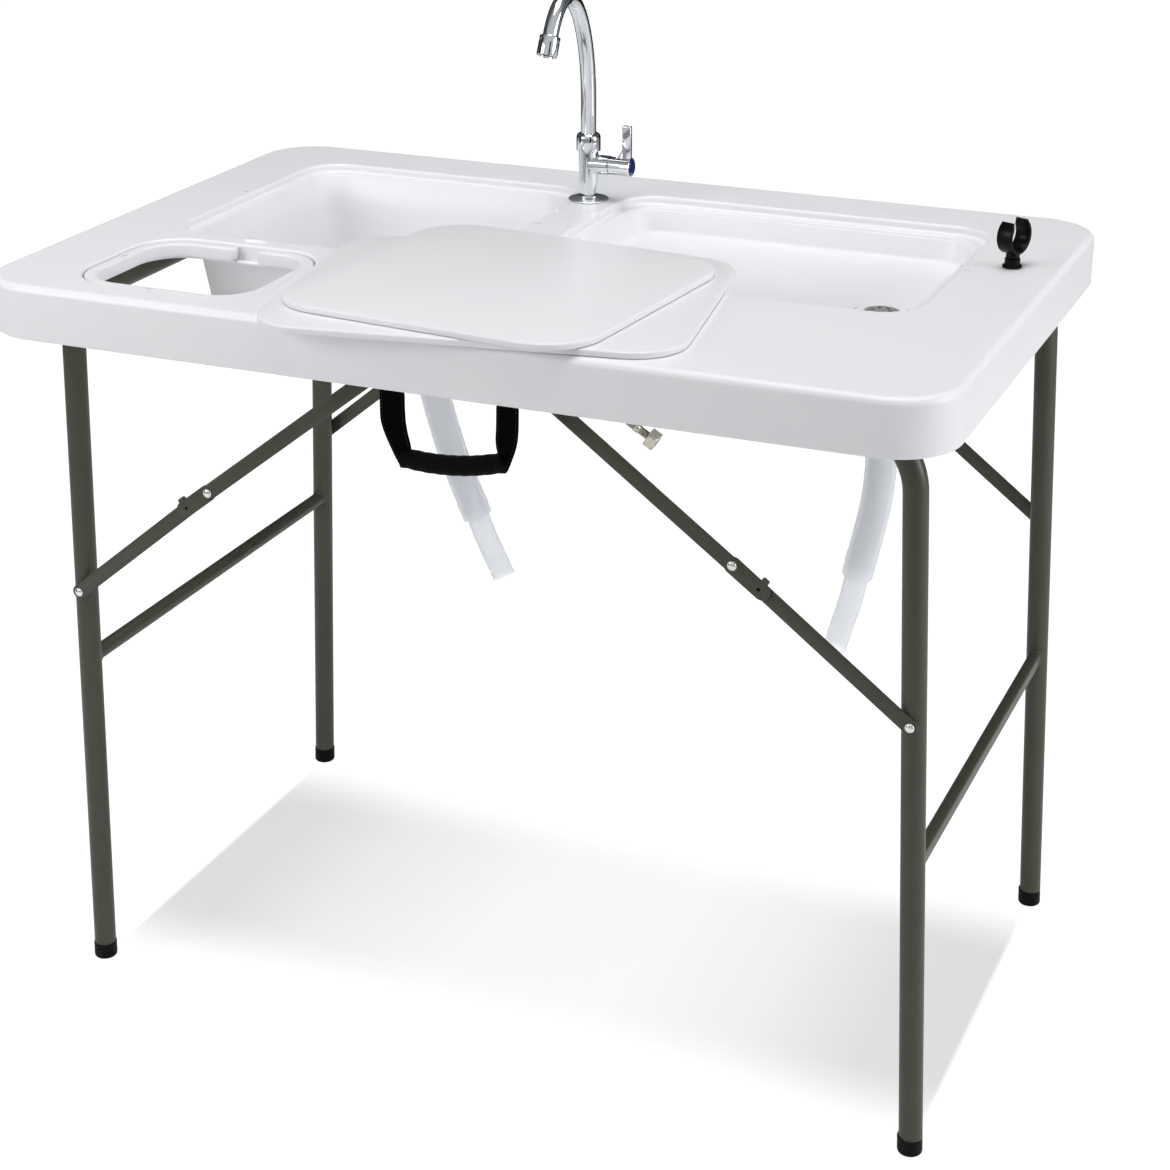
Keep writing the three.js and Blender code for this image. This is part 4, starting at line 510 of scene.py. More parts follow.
def rounded_outline(box, inset, z, steps=16):
    """A rectangle with round corners, drawn in by an inset, as places in the model."""
    left, right, front, back, corner = box
    radius = corner - inset
    centres = [
        (right - inset - radius, back - inset - radius),
        (left + inset + radius, back - inset - radius),
        (left + inset + radius, front + inset + radius),
        (right - inset - radius, front + inset + radius),
    ]
    loop = []
    for quarter, (x, y) in enumerate(centres):
        for k in range(steps + 1):
            angle = (quarter + k / steps) * math.pi / 2
            loop.append(at(x + radius * math.cos(angle), y + radius * math.sin(angle), z))
    return loop


def circle_outline(x, y, z, radius, count):
    """A level circle on the drawing, from half a step round."""
    loop = []
    for k in range(count):
        angle = (k + 0.5) / count * 2 * math.pi
        loop.append(at(x + radius * math.cos(angle), y + radius * math.sin(angle), z))
    return loop


def circle(centre, side, up, radius, count):
    """A circle of places in the model about a centre; only the radius is in millimetres."""
    turns = [k / count * 2 * math.pi for k in range(count)]
    return [centre + (side * math.cos(turn) + up * math.sin(turn)) * radius * MM for turn in turns]


def quarter_round(radius, steps=5):
    """Insets and rises along a quarter-round edge, from the side to the flat face."""
    turns = [k / steps * math.pi / 2 for k in range(steps + 1)]
    return [(radius * (1 - math.cos(turn)), radius * math.sin(turn)) for turn in turns]


def loft(loops, closed=False, capped=True):
    """Loops of equal count joined one to the next."""
    count = len(loops[0])
    corners = [corner for loop in loops for corner in loop]
    faces = []
    for band in range(len(loops) if closed else len(loops) - 1):
        low = band * count
        high = (band + 1) % len(loops) * count
        for i in range(count):
            j = (i + 1) % count
            faces.append((low + i, low + j, high + j, high + i))
    if capped and not closed:
        faces.append(tuple(range(count)))
        faces.append(tuple(range(len(corners) - count, len(corners))))
    return corners, faces


def together(*shells):
    """Several shells as one list of corners and one of faces."""
    corners = []
    faces = []
    for more_corners, more_faces in shells:
        start = len(corners)
        corners.extend(more_corners)
        faces.extend(tuple(start + i for i in face) for face in more_faces)
    return corners, faces


def tidy(mesh, crease=32, merge=0.004):
    """Doubles merged, faces turned out, and only real edges left sharp."""
    work = bmesh.new()
    work.from_mesh(mesh)
    bmesh.ops.remove_doubles(work, verts=work.verts, dist=merge * MM)
    bmesh.ops.recalc_face_normals(work, faces=work.faces)
    work.to_mesh(mesh)
    work.free()
    mesh.shade_smooth()
    mesh.set_sharp_from_angle(angle=math.radians(crease))


def piece(name, shell, material, body, crease=32, replaces=(), mapped=None):
    """A finished mesh object from a shell, riding on a body; mapped gives its flat map.

    A piece that stands for plain solids hides them.
    """
    mesh = bpy.data.meshes.new(name)
    mesh.from_pydata([tuple(corner) for corner in shell[0]], [], shell[1])
    mesh.materials.append(material)
    if mapped:
        layer = mesh.uv_layers.new(name="flat_map")
        places = [place for face in mapped for place in face]
        for corner, place in zip(layer.data, places):
            corner.uv = place
    tidy(mesh, crease)
    made = bpy.data.objects.new(name, mesh)
    bpy.context.scene.collection.objects.link(made)
    settle(made, body, replaces)
    return made


def settle(made, body, replaces=()):
    """Puts a piece on its body, in place of the plain solids that it stands for."""
    if body:
        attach(made, body)
    if replaces:
        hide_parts(*replaces)


def made_plain(made):
    """Puts the result of an object's modifiers in place of its mesh, under the same name."""
    bpy.context.view_layer.update()
    result = bpy.data.meshes.new_from_object(made.evaluated_get(bpy.context.evaluated_depsgraph_get()))
    made.modifiers.clear()
    old = made.data
    name = old.name
    made.data = result
    bpy.data.meshes.remove(old)
    result.name = name
    return result


def carve(target, cutters, crease=32, operation="DIFFERENCE"):
    """Cuts shapes out of a piece, or joins them to it."""
    for cutter in cutters:
        change = target.modifiers.new("cut", "BOOLEAN")
        change.solver = "EXACT"
        change.operation = operation
        change.object = cutter
    tidy(made_plain(target), crease)
    for cutter in cutters:
        bpy.data.objects.remove(cutter)


def axes_of(direction):
    """Two directions square to a given one."""
    direction = direction.normalized()
    other = Vector((0, 1, 0)) if abs(direction.y) < 0.9 else Vector((1, 0, 0))
    side = (other - direction * other.dot(direction)).normalized()
    return side, direction.cross(side)


def turned_shell(profile, foot, direction, sides=48):
    """A turned shape: radius and height pairs, in millimetres, about an axis from its foot."""
    side, up = axes_of(direction)
    axis = direction.normalized()
    return loft([
        circle(foot + axis * height * MM, side, up, max(radius, 0.001), sides) for radius, height in profile
    ])


def block_shell(x, y, length, width, bottom, top):
    """A plain block, used to cut with."""
    return loft([
        [at(x + i * length / 2, y + j * width / 2, level) for i, j in SQUARE] for level in (bottom, top)
    ])


def inside(point, loop):
    """Whether a flat place lies inside an outline."""
    hit = False
    for a, b in zip(loop, loop[1:] + loop[:1]):
        if (a.y > point.y) != (b.y > point.y):
            if point.x < a.x + (point.y - a.y) / (b.y - a.y) * (b.x - a.x):
                hit = not hit
    return hit


def flat_sheet(outer, holes):
    """A level face inside an outer loop, open at its holes, as triangles."""
    flat = []
    joins = []
    for loop in [outer, *holes]:
        start = len(flat)
        flat.extend(Vector((corner.x, corner.y)) for corner in loop)
        joins.extend((start + i, start + (i + 1) % len(loop)) for i in range(len(loop)))
    points, _, triangles, _, _, _ = delaunay_2d_cdt(flat, joins, [], 0, 1e-7)
    z = outer[0].z
    kept = []
    for triangle in triangles:
        centre = sum((points[i] for i in triangle), Vector((0, 0))) / len(triangle)
        if inside(centre, outer) and not any(inside(centre, hole) for hole in holes):
            kept.append(tuple(triangle))
    return [Vector((point.x, point.y, z)) for point in points], kept


print("helpers ready")

# %% [markdown]
# ## Drain hoses
#
# Under each drain a wide, milky sleeve is pushed over the tail, and a narrower, smooth hose
# hangs in it and runs on to a bare end. They hang free, so each is a tube along a smooth
# route that leaves its fitting straight down and then sags. The photograph shows both below
# the apron, all but the end of the shallow basin's hose. The tubes have a real bore, because
# one looks into their ends.

# %% Routes and tubes


def smooth_run(points, steps):
    """Evenly spaced places on a smooth curve through the points."""
    ends = [points[0] * 2 - points[1], *points, points[-1] * 2 - points[-2]]
    dense = []
    for before, first, last, after in zip(ends, ends[1:], ends[2:], ends[3:]):
        a = (first - before).length ** 0.5
        b = (last - first).length ** 0.5
        c = (after - last).length ** 0.5
        leave = ((first - before) / a - (last - before) / (a + b) + (last - first) / b) * b
        arrive = ((last - first) / b - (after - first) / (b + c) + (after - last) / c) * b
        for k in range(20):
            s = k / 20
            dense.append(
                first * (2 * s ** 3 - 3 * s ** 2 + 1) + leave * (s ** 3 - 2 * s ** 2 + s)
                + last * (3 * s ** 2 - 2 * s ** 3) + arrive * (s ** 3 - s ** 2)
            )
    dense.append(points[-1])
    ways = [0]
    for first, last in zip(dense, dense[1:]):
        ways.append(ways[-1] + (last - first).length)
    spaced = []
    at_piece = 0
    for k in range(steps + 1):
        way = ways[-1] * k / steps
        while at_piece < len(dense) - 2 and ways[at_piece + 1] < way:
            at_piece += 1
        span = ways[at_piece + 1] - ways[at_piece]
        spaced.append(dense[at_piece].lerp(dense[at_piece + 1], (way - ways[at_piece]) / span))
    return spaced


def run_length(path):
    """The length of a route, in metres."""
    return sum((last - first).length for first, last in zip(path, path[1:]))


def directions(path):
    """Ahead, side and up at each place of a route, with as little twist as can be."""
    side, _ = axes_of(path[1] - path[0])
    found = []
    for k in range(len(path)):
        ahead = (path[min(k + 1, len(path) - 1)] - path[max(k - 1, 0)]).normalized()
        side = (side - ahead * side.dot(ahead)).normalized()
        found.append((ahead, side, ahead.cross(side)))
    return found


def tube_shell(path, radii, sides=32, bores=None):
    """A tube along a route, or a pipe if it has bores; radii in millimetres."""

    def rings(widths):
        return [
            circle(place, side, up, width, sides)
            for place, (_, side, up), width in zip(path, directions(path), widths)
        ]

    if bores is None:
        return loft(rings(radii))
    return loft(rings(radii) + rings(bores)[::-1], closed=True)


def tube_map(shell, path, radius, sides=32):
    """A flat map of a plain tube: its girth across and its length along, in metres."""
    ways = [0]
    for first, last in zip(path, path[1:]):
        ways.append(ways[-1] + (last - first).length)
    girth = 2 * math.pi * radius * MM
    mapped = []
    for face in shell[1]:
        if len(face) != 4:
            mapped.append([(0, 0)] * len(face))
            continue
        first = face[0] % sides
        across = [first / sides * girth, (first + 1) / sides * girth]
        low = ways[face[0] // sides]
        high = ways[face[2] // sides]
        mapped.append([(across[0], low), (across[1], low), (across[1], high), (across[0], high)])
    return mapped


# %% Drain hoses
SLEEVE_RADIUS = 19
SLEEVE_WALL = 2
HOSE_RADIUS = 15.3
HOSE_WALL = 1.8
SLEEVE_LEAST = 19.4
SLEEVE_RIPPLE = 0.12
SLEEVE_LIP = 0.5
HOSE_MIDDLE = 14.95
HOSE_RIPPLE = 0.35


def drain_hose(name, exit_place, sleeve_run, hose_run):
    """A sleeve and the hose in it, from the places of their runs."""
    start = at(*exit_place)
    straight = start - Vector((0, 0, 2 * SLEEVE_RADIUS * MM))
    upper = [start + Vector(offset) * MM for offset in sleeve_run]
    lower = [start + Vector(offset) * MM for offset in hose_run]
    sleeve_path = [start, *smooth_run([straight, *upper], 44)]
    turn = (sleeve_path[-1] - sleeve_path[-2]).normalized()
    beyond = sleeve_path[-1] + turn * 2 * HOSE_RADIUS * MM
    hose_path = [*sleeve_path[:-1], *smooth_run([sleeve_path[-1], beyond, *lower], 40)]
    ripples = []
    for k in range(len(sleeve_path)):
        to_end = len(sleeve_path) - 1 - k
        swell = SLEEVE_LIP if to_end in (3, 4) else 0
        ripples.append(SLEEVE_LEAST + swell + SLEEVE_RIPPLE * math.sin(k * 1.9))
    sleeve = piece(
        f"{name}_wide_sleeve",
        tube_shell(sleeve_path, ripples, 40, [width - SLEEVE_WALL for width in ripples]),
        milky_hose, "top", replaces=[f"{name}_sleeve"],
    )
    widths = [HOSE_MIDDLE + HOSE_RIPPLE * math.sin(k * 2.4) for k in range(len(hose_path))]
    hose = piece(
        f"{name}_inner_hose",
        tube_shell(hose_path, widths, 36, [width - HOSE_WALL for width in widths]),
        milky_hose, "top", replaces=[f"{name}_hose"],
    )
    run_length(hose_path)
    [list(place) for place in hose_path]
    print(name, "hose:", round(run_length(hose_path), 3), "m")


drain_hose(
    "deep_drain", (-230, 96, 777.7),
    [(12, -2, -77.7), (36, -3, -155.7), (71.5, -4, -240)], [(109.5, -6, -318.7)],
)
drain_hose(
    "shallow_drain", (376, 96, 857.7),
    [(8, 0, -117.7), (7, 0, -207.7), (-14, 0, -320.3)], [(-39, 0, -423.7)],
)

# %% [markdown]
# ## Supply hose
#
# A short braided hose hangs from the tap's shank and ends in a threaded stem with a loose
# hexagon nut, ready for a garden hose. Its braid is two sets of bright wires that cross, so
# it gets a woven finish on a flat map that is turned by 45 degrees.

# %% Supply hose, its stem and its nut
TAP_X = -61
TAP_Y = 238
supply_start = at(TAP_X, TAP_Y, 876)
nut_slope = math.radians(31)
nut_axis = Vector((math.cos(nut_slope), 0, -math.sin(nut_slope)))
nut_centre = at(18, 274, 609)
supply_end = nut_centre - nut_axis * 30.3 * MM
supply_path = [supply_start, *smooth_run([
    supply_start - Vector((0, 0, 11 * MM)),
    at(TAP_X, 240, 800),
    at(-55, 250, 730),
    at(-42, 262, 675),
    supply_end - nut_axis * 11 * MM,
], 70), supply_end]
SUPPLY_RADIUS = 5.4
supply_shell = tube_shell(supply_path, [SUPPLY_RADIUS] * len(supply_path), 24)
supply_hose = piece(
    "supply_braided_hose", supply_shell, braid, "top", replaces=["supply_hose"],
    mapped=tube_map(supply_shell, supply_path, SUPPLY_RADIUS, 24),
)
stem_profile = [(SUPPLY_RADIUS, 0.3), (6.3, 0.6), (6.3, 7), (5.6, 7.6), (5.6, 9)]
for k in range(12):
    stem_profile.extend([(5.75, 9.4 + k * 1.5), (5.15, 10.1 + k * 1.5)])
stem_profile.extend([(5.3, 28.6), (4.6, 29.3), (3.6, 29.3), (3.6, 20)])
stem = piece(
    "supply_threaded_stem", turned_shell(stem_profile, supply_end, nut_axis, 32), nickel, "top",
    crease=50, replaces=["supply_stem"],
)


def hexagon_nut(name, centre, axis, across, length, bore, material, body, **more):
    """A hexagon nut with its corners turned down at both ends; across is its outer radius."""
    side, up = axes_of(axis)
    flat = across * math.cos(math.pi / 6)
    rings = []
    for height, most in ((0, flat + 0.1), (0.06, flat + 0.9), (0.12, across), (0.88, across),
                         (0.94, flat + 0.9), (1, flat + 0.1)):
        ring = []
        for k in range(48):
            turn = k / 48 * 2 * math.pi
            to_flat = (turn + math.pi / 6) % (math.pi / 3) - math.pi / 6
            reach = min(flat / math.cos(to_flat), most)
            ring.append(
                centre + axis * (height - 0.5) * length * MM
                + (side * math.cos(turn) + up * math.sin(turn)) * reach * MM
            )
        rings.append(ring)
    for height, width in ((1, bore + 0.8), (0.95, bore), (0.05, bore), (0, bore + 0.8)):
        rings.append(circle(centre + axis * (height - 0.5) * length * MM, side, up, width, 48))
    return piece(name, loft(rings, closed=True), material, body, crease=24, **more)


loose_nut = hexagon_nut(
    "supply_loose_nut", nut_centre, nut_axis, 15.4, 14, 6.1, nickel, "supply_nut",
    replaces=["supply_nut"],
)
run_length(supply_path)
[list(place) for place in supply_path]
print("supply hose:", round(run_length(supply_path), 3), "m")

# %% [markdown]
# ## The moulded top
#
# The top is blow moulded: molten plastic is blown against a mould, so every edge is soft
# and the skin has a fine pebble. It could be cut from a block, but cut edges are sharp.
# Here one closed surface runs over the apron, across the flat, down into each basin and
# back along the underside, and every turn of it is a quarter round made of a few loops. Only
# the flat faces between the loops are filled with triangles.

# %% Outlines of the top
TOP = (-580, 580, -381, 381, 74)
DEEP = (-480, -82, -97, 289, 50)
SHALLOW = (-20, 464, -97, 289, 50)
CUT_OUT = (-480, -237, -337, -127, 62)
APRON_HEIGHT = 65
APRON_WALL = 18
SLAB_BOTTOM = 918
LEDGE_Z = 930
LEDGE_WIDTH = 12
LEDGE_BACK = 14.5
TUB_WALL = 5
DRAIN_Y = 96
RIM_ROUND = 4
LEDGE_ROUND = 2.5
MOUTH_ROUND = 4
SUPPORT = 1.2
TAP_HOLE = 10.5
DRAIN_HOLE = 21
DRAIN_SEAT = 33
RIM_STEPS = 24
UNDER_ROUND = 4
LIP_INNER_ROUND = 2.5
LIP_OUTER_ROUND = 3.5
SHOULDER_ROUND = 9


def edge_loops(box, outer_z, radius):
    """Loops that leave the flat and turn down over a recess's rim."""
    loops = [rounded_outline(box, -radius - SUPPORT, outer_z), rounded_outline(box, -radius, outer_z)]
    for inset, rise in reversed(quarter_round(radius)[:-1]):
        loops.append(rounded_outline(box, -inset, outer_z - radius + rise))
    return loops


def tub_loops(mouth, depth, fall, lean, turn, drain_x, wall, start_z, top_z):
    """Loops down a basin's wall, round its foot and over the sloping floor to the drain."""
    foot = TOP_HEIGHT - depth + fall - wall
    knee = foot + turn
    share = (top_z - start_z) / (top_z - knee)
    start_inset = -wall + lean * share
    loops = [rounded_outline(mouth, start_inset, start_z)]
    for k in range(1, 3):
        part = k / 3
        loops.append(rounded_outline(
            mouth, start_inset + (lean - wall - start_inset) * part, start_z + (knee - start_z) * part,
        ))
    steps = 7
    for k in range(steps + 1):
        angle = k / steps * math.pi / 2
        inset = lean + 2 * turn - 2 * turn * math.cos(angle) - wall
        loops.append(rounded_outline(mouth, inset, knee - turn * math.sin(angle)))
    rim = loops[-1]
    end = circle_outline(drain_x, DRAIN_Y, TOP_HEIGHT - depth - wall, DRAIN_SEAT + wall, len(rim))
    for part in (0.04, 0.3, 0.6, 0.85, 1):
        loops.append([a.lerp(b, part) for a, b in zip(rim, end)])
    return loops


def basin_shells(recess, depth, fall, lean, turn, drain_x):
    """The inner face of a basin from the flat to its drain hole, and its outer face."""
    left, right, front, back, corner = recess
    mouth = (left + LEDGE_WIDTH, right - LEDGE_WIDTH, front + LEDGE_WIDTH, back - LEDGE_BACK, corner)
    inner = edge_loops(recess, TOP_HEIGHT, RIM_ROUND)
    for inset, rise in quarter_round(LEDGE_ROUND, 4):
        inner.append(rounded_outline(recess, inset, LEDGE_Z + LEDGE_ROUND - rise))
    inner.append(rounded_outline(mouth, -MOUTH_ROUND - SUPPORT, LEDGE_Z))
    inner.append(rounded_outline(mouth, -MOUTH_ROUND, LEDGE_Z))
    for inset, rise in reversed(quarter_round(MOUTH_ROUND, 5)[:-1]):
        inner.append(rounded_outline(mouth, -inset, LEDGE_Z - MOUTH_ROUND + rise))
    inner.extend(tub_loops(mouth, depth, fall, lean, turn, drain_x, 0, LEDGE_Z - MOUTH_ROUND - 1, LEDGE_Z))
    floor_z = TOP_HEIGHT - depth
    count = len(inner[0])
    for radius, z in (
        (DRAIN_SEAT, floor_z - 2), (DRAIN_HOLE, floor_z - 2), (DRAIN_HOLE, floor_z - TUB_WALL),
    ):
        inner.append(circle_outline(drain_x, DRAIN_Y, z, radius, count))
    outer = tub_loops(mouth, depth, fall, lean, turn, drain_x, TUB_WALL, SLAB_BOTTOM, LEDGE_Z - TUB_WALL)
    outer.append(circle_outline(drain_x, DRAIN_Y, floor_z - TUB_WALL, DRAIN_HOLE, count))
    return inner, outer


# %% One closed skin
deep_inner, deep_outer = basin_shells(DEEP, 140, 8, 18, 12, -230)
shallow_inner, shallow_outer = basin_shells(SHALLOW, 60, 15, 9, 10, 376)
cut_loops = edge_loops(CUT_OUT, TOP_HEIGHT, 3)
for inset, z in ((0, 920.4), (7.4, 920.4), (8, 919.8), (8, SLAB_BOTTOM)):
    cut_loops.append(rounded_outline(CUT_OUT, inset, z))
apron_bottom = TOP_HEIGHT - APRON_HEIGHT
rim_places = [(APRON_WALL + UNDER_ROUND, SLAB_BOTTOM)]
for inset, rise in reversed(quarter_round(UNDER_ROUND, 4)[:-1]):
    rim_places.append((APRON_WALL + inset, SLAB_BOTTOM - UNDER_ROUND + rise))
for inset, rise in quarter_round(LIP_INNER_ROUND, 3):
    rim_places.append((APRON_WALL - inset, apron_bottom + LIP_INNER_ROUND - rise))
for inset, rise in reversed(quarter_round(LIP_OUTER_ROUND, 4)):
    rim_places.append((inset, apron_bottom + LIP_OUTER_ROUND - rise))
for inset, rise in quarter_round(SHOULDER_ROUND, 8):
    rim_places.append((inset, TOP_HEIGHT - SHOULDER_ROUND + rise))
rim_places.append((SHOULDER_ROUND + SUPPORT, TOP_HEIGHT))
rim_loops = [rounded_outline(TOP, inset, z, RIM_STEPS) for inset, z in rim_places]
tap_hole_high = circle_outline(TAP_X, TAP_Y, TOP_HEIGHT, TAP_HOLE, 24)
tap_hole_low = circle_outline(TAP_X, TAP_Y, SLAB_BOTTOM, TAP_HOLE, 24)
upper_face = flat_sheet(rim_loops[-1], [deep_inner[0], shallow_inner[0], cut_loops[0], tap_hole_high])
lower_face = flat_sheet(rim_loops[0], [deep_outer[0], shallow_outer[0], cut_loops[-1], tap_hole_low])
walls = [
    rim_loops, deep_inner, deep_outer, shallow_inner, shallow_outer, cut_loops,
    [tap_hole_high, tap_hole_low],
]
skin = together(upper_face, lower_face, *(loft(loops, capped=False) for loops in walls))
moulded_top = piece("moulded_top", skin, white_plastic, None)


def open_edges(made):
    """How many edges of a mesh lie on one face only."""
    work = bmesh.new()
    work.from_mesh(made.data)
    count = sum(1 for edge in work.edges if len(edge.link_faces) != 2)
    work.free()
    return count


print("moulded top:", len(moulded_top.data.polygons), "faces,", open_edges(moulded_top), "open edges")

# %% Slots for the boards, notches in the rims and the thumb dimple
cutters = []
for x in (-490, -72, -30, 474):
    cutters.append(piece("slot_cutter", block_shell(x, 102, 8, 3, 935, 944), white_plastic, None))
for x in (-82, -20):
    notch = [
        rounded_outline((x - 7, x + 7, 162.5, 175.5, 4), inset, z, 4)
        for inset, z in ((3, 933.5), (0.6, 934.6), (-0.4, 938.4), (-3, 941))
    ]
    cutters.append(piece("notch_cutter", loft(notch), white_plastic, None))
dimple_loops = []
for k in range(1, 9):
    angle = k / 9 * math.pi / 2
    dimple_loops.append([
        at(-355 + 17 * math.sin(angle) * math.cos(t), -108.5 + 8.5 * math.sin(angle) * math.sin(t),
           TOP_HEIGHT + 0.4 - 5.2 * math.cos(angle))
        for t in (i / 32 * 2 * math.pi for i in range(32))
    ])
dimple_loops.append([corner + Vector((0, 0, 6 * MM)) for corner in dimple_loops[-1]])
cutters.append(piece("dimple_cutter", loft(dimple_loops), white_plastic, None))
carve(moulded_top, cutters, crease=34)
settle(moulded_top, "top", ["table_top"])
print("moulded top after its cuts:", len(moulded_top.data.polygons), "faces")

# %% [markdown]
# ## The bag ring
#
# A loose ring drops into the cut-out and grips the mouth of a waste bag. It is a soft,
# nearly square section led round a rounded rectangle, with a break for the fingers at the
# back. A mould can't make sharp ends, so the section shrinks a little before each of them.

# %% Bag ring


def soft_section(half_wide, half_high, radius, steps=4):
    """A rectangle with round corners about zero, as pairs."""
    section = []
    for quarter, (i, j) in enumerate(((1, 1), (-1, 1), (-1, -1), (1, -1))):
        for k in range(steps + 1):
            turn = (quarter + k / steps) * math.pi / 2
            section.append((
                i * (half_wide - radius) + radius * math.cos(turn),
                j * (half_high - radius) + radius * math.sin(turn),
            ))
    return section


def swept_shell(places, sides, ups, sections):
    """Sections led along places; each section is a list of pairs in millimetres."""
    loops = []
    for place, side, up, section in zip(places, sides, ups, sections):
        loops.append([place + (side * u + up * v) * MM for u, v in section])
    return loft(loops)


RING_LOW = 920.7
RING_HIGH = 937
RING_BREAK_X = -350
RING_BREAK = 32
ring_line = rounded_outline(CUT_OUT, 10, (RING_LOW + RING_HIGH) / 2, 14)
start_x = at(RING_BREAK_X - RING_BREAK / 2, 0, 0).x
end_x = at(RING_BREAK_X + RING_BREAK / 2, 0, 0).x
back_y = max(place.y for place in ring_line)
level = ring_line[0].z
start = Vector((start_x, back_y, level))
end = Vector((end_x, back_y, level))
first_after = next(i for i, place in enumerate(ring_line) if place.x < start_x)
going_round = [start, *ring_line[first_after:], *ring_line[:first_after], end]
along_ring = []
for first, last in zip(going_round, going_round[1:]):
    parts = max(1, round((last - first).length / 0.012))
    along_ring.extend(first.lerp(last, k / parts) for k in range(parts))
along_ring.append(end)
blunt = 4 * MM
for k, inset in ((1, 1.2), (2, 2.8)):
    along_ring.insert(k, start + Vector((-inset * MM, 0, 0)))
    along_ring.insert(len(along_ring) - k, end + Vector((inset * MM, 0, 0)))
sides = []
sections = []
whole = run_length(along_ring)
way = 0
for k, place in enumerate(along_ring):
    ahead = (along_ring[min(k + 1, len(along_ring) - 1)] - along_ring[max(k - 1, 0)]).normalized()
    sides.append(Vector((ahead.y, -ahead.x, 0)))
    from_end = min(way, whole - way)
    pull = 0
    if from_end < blunt:
        pull = 3.4 * (1 - math.sqrt(1 - (1 - from_end / blunt) ** 2))
    sections.append([(u + 0.7, v + 1.1) for u, v in soft_section(7.4 - pull, 8.15 - pull, 2.6)])
    if k < len(along_ring) - 1:
        way += (along_ring[k + 1] - place).length
bag_ring = piece(
    "bag_clamp_ring",
    swept_shell(along_ring, sides, [Vector((0, 0, 1))] * len(along_ring), sections),
    white_plastic, None, crease=50,
)
pockets = [
    piece("pocket", block_shell(-470, -219, 5, 12, 934, 941), white_plastic, None),
    piece("pocket", block_shell(-368, -327, 12, 5, 934, 941), white_plastic, None),
]
carve(bag_ring, pockets, crease=50)
settle(bag_ring, "bag_ring", ["bag_ring"])
print("bag ring:", len(bag_ring.data.polygons), "faces,", open_edges(bag_ring), "open edges")

# %% [markdown]
# ## The cutting boards
#
# Each board is a lid for a basin: a flat plate with big round corners and softly rounded
# edges. They lie one on the other, a little turned, as somebody put them down.

# %% Outlines that are drawn in


def drawn_in(outline, inset):
    """A closed flat outline moved inward by an inset; pairs in millimetres, counter-clockwise."""
    if not inset:
        return list(outline)
    moved = []
    count = len(outline)
    for i in range(count):
        x, y = outline[i]
        ax, ay = outline[i - 1]
        bx, by = outline[(i + 1) % count]
        first = Vector((x - ax, y - ay)).normalized()
        last = Vector((bx - x, by - y)).normalized()
        normal = Vector((-first.y - last.y, first.x + last.x))
        if normal.length < 1e-6:
            normal = Vector((-first.y, first.x))
        normal.normalize()
        lean = max(0.4, normal.dot(Vector((-first.y, first.x))))
        moved.append((x + normal.x * inset / lean, y + normal.y * inset / lean))
    return moved


def plate_between(outline, low, high, edge, place_of, steps=3):
    """A plate with soft edges; place_of turns a pair and a level into a place."""
    levels = []
    for inset, rise in reversed(quarter_round(edge, steps)):
        levels.append((inset, low + edge - rise))
    for inset, rise in quarter_round(edge, steps):
        levels.append((inset, high - edge + rise))
    return loft([[place_of(x, y, level) for x, y in drawn_in(outline, inset)] for inset, level in levels])


# %% Cutting boards
BOARD_THICKNESS = 8


def board(name, node, body, length, depth, corner, centre, turn, bottom):
    """One board, flat on its place, turned about its middle."""
    outline = soft_section(length / 2, depth / 2, corner, 14)
    cosine = math.cos(turn)
    sine = math.sin(turn)

    def place_of(x, y, level):
        return at(centre[0] + x * cosine - y * sine, centre[1] + x * sine + y * cosine, level)

    piece(
        name, plate_between(outline, bottom, bottom + BOARD_THICKNESS, 2.4, place_of, 4),
        board_plastic, body, replaces=[node],
    )


board("board_under", "cutting_board_lower", "lower_board", 480, 379, 60,
      (21.2, -207.6), math.radians(8.9), 940.3)
board("board_over", "cutting_board_upper", "upper_board", 394, 386, 66,
      (14, -195), math.radians(-6.1), 948.6)
print("boards: 2")

# %% [markdown]
# ## The folding frames
#
# Each frame is bent and welded from painted steel tube: a pivot tube, two legs and a
# crossbar. The left crossbar is round, the right one a rounded rectangle. A weld shows as a
# small, slightly uneven bead where one tube runs into another. Black caps close the feet.

# %% Legs
TUBE_RADIUS = 13.9
FRAME_HALF = 303
ENDS = (("front", -1), ("rear", 1))
LEFT_FOOT = (-528.5, 0)
LEFT_PIVOT = (-491.4, 903)
RIGHT_FOOT = (572, 0)
RIGHT_BEND = (532.4, 815)
RIGHT_PIVOT = (480.88, 887.81)
BEND_RADIUS = 83
BEND_TURN = math.radians(65)
right_lean = math.atan2(RIGHT_FOOT[0] - RIGHT_BEND[0], RIGHT_BEND[1])


def on_line(a, b, z):
    """The X of a leaning line at a height."""
    return a[0] + (b[0] - a[0]) * (z - a[1]) / (b[1] - a[1])


left_line = [(on_line(LEFT_FOOT, LEFT_PIVOT, z), z) for z in (20, 300, 600, 800, 896)]
right_line = [(on_line(RIGHT_FOOT, RIGHT_BEND, z), z) for z in (20, 300, 600, 800)]
bend_x = RIGHT_BEND[0] - BEND_RADIUS * math.cos(right_lean)
bend_z = RIGHT_BEND[1] - BEND_RADIUS * math.sin(right_lean)
for k in range(15):
    angle = right_lean + BEND_TURN * k / 14
    right_line.append((bend_x + BEND_RADIUS * math.cos(angle), bend_z + BEND_RADIUS * math.sin(angle)))
for side, line in (("left", left_line), ("right", right_line)):
    for end, sign in ENDS:
        path = [at(x, sign * FRAME_HALF, z) for x, z in line]
        piece(
            f"{side}_smooth_leg_{end}", tube_shell(path, [TUBE_RADIUS] * len(path), 48),
            frame_paint, f"{side}_frame", replaces=[f"{side}_leg_{end}"],
        )

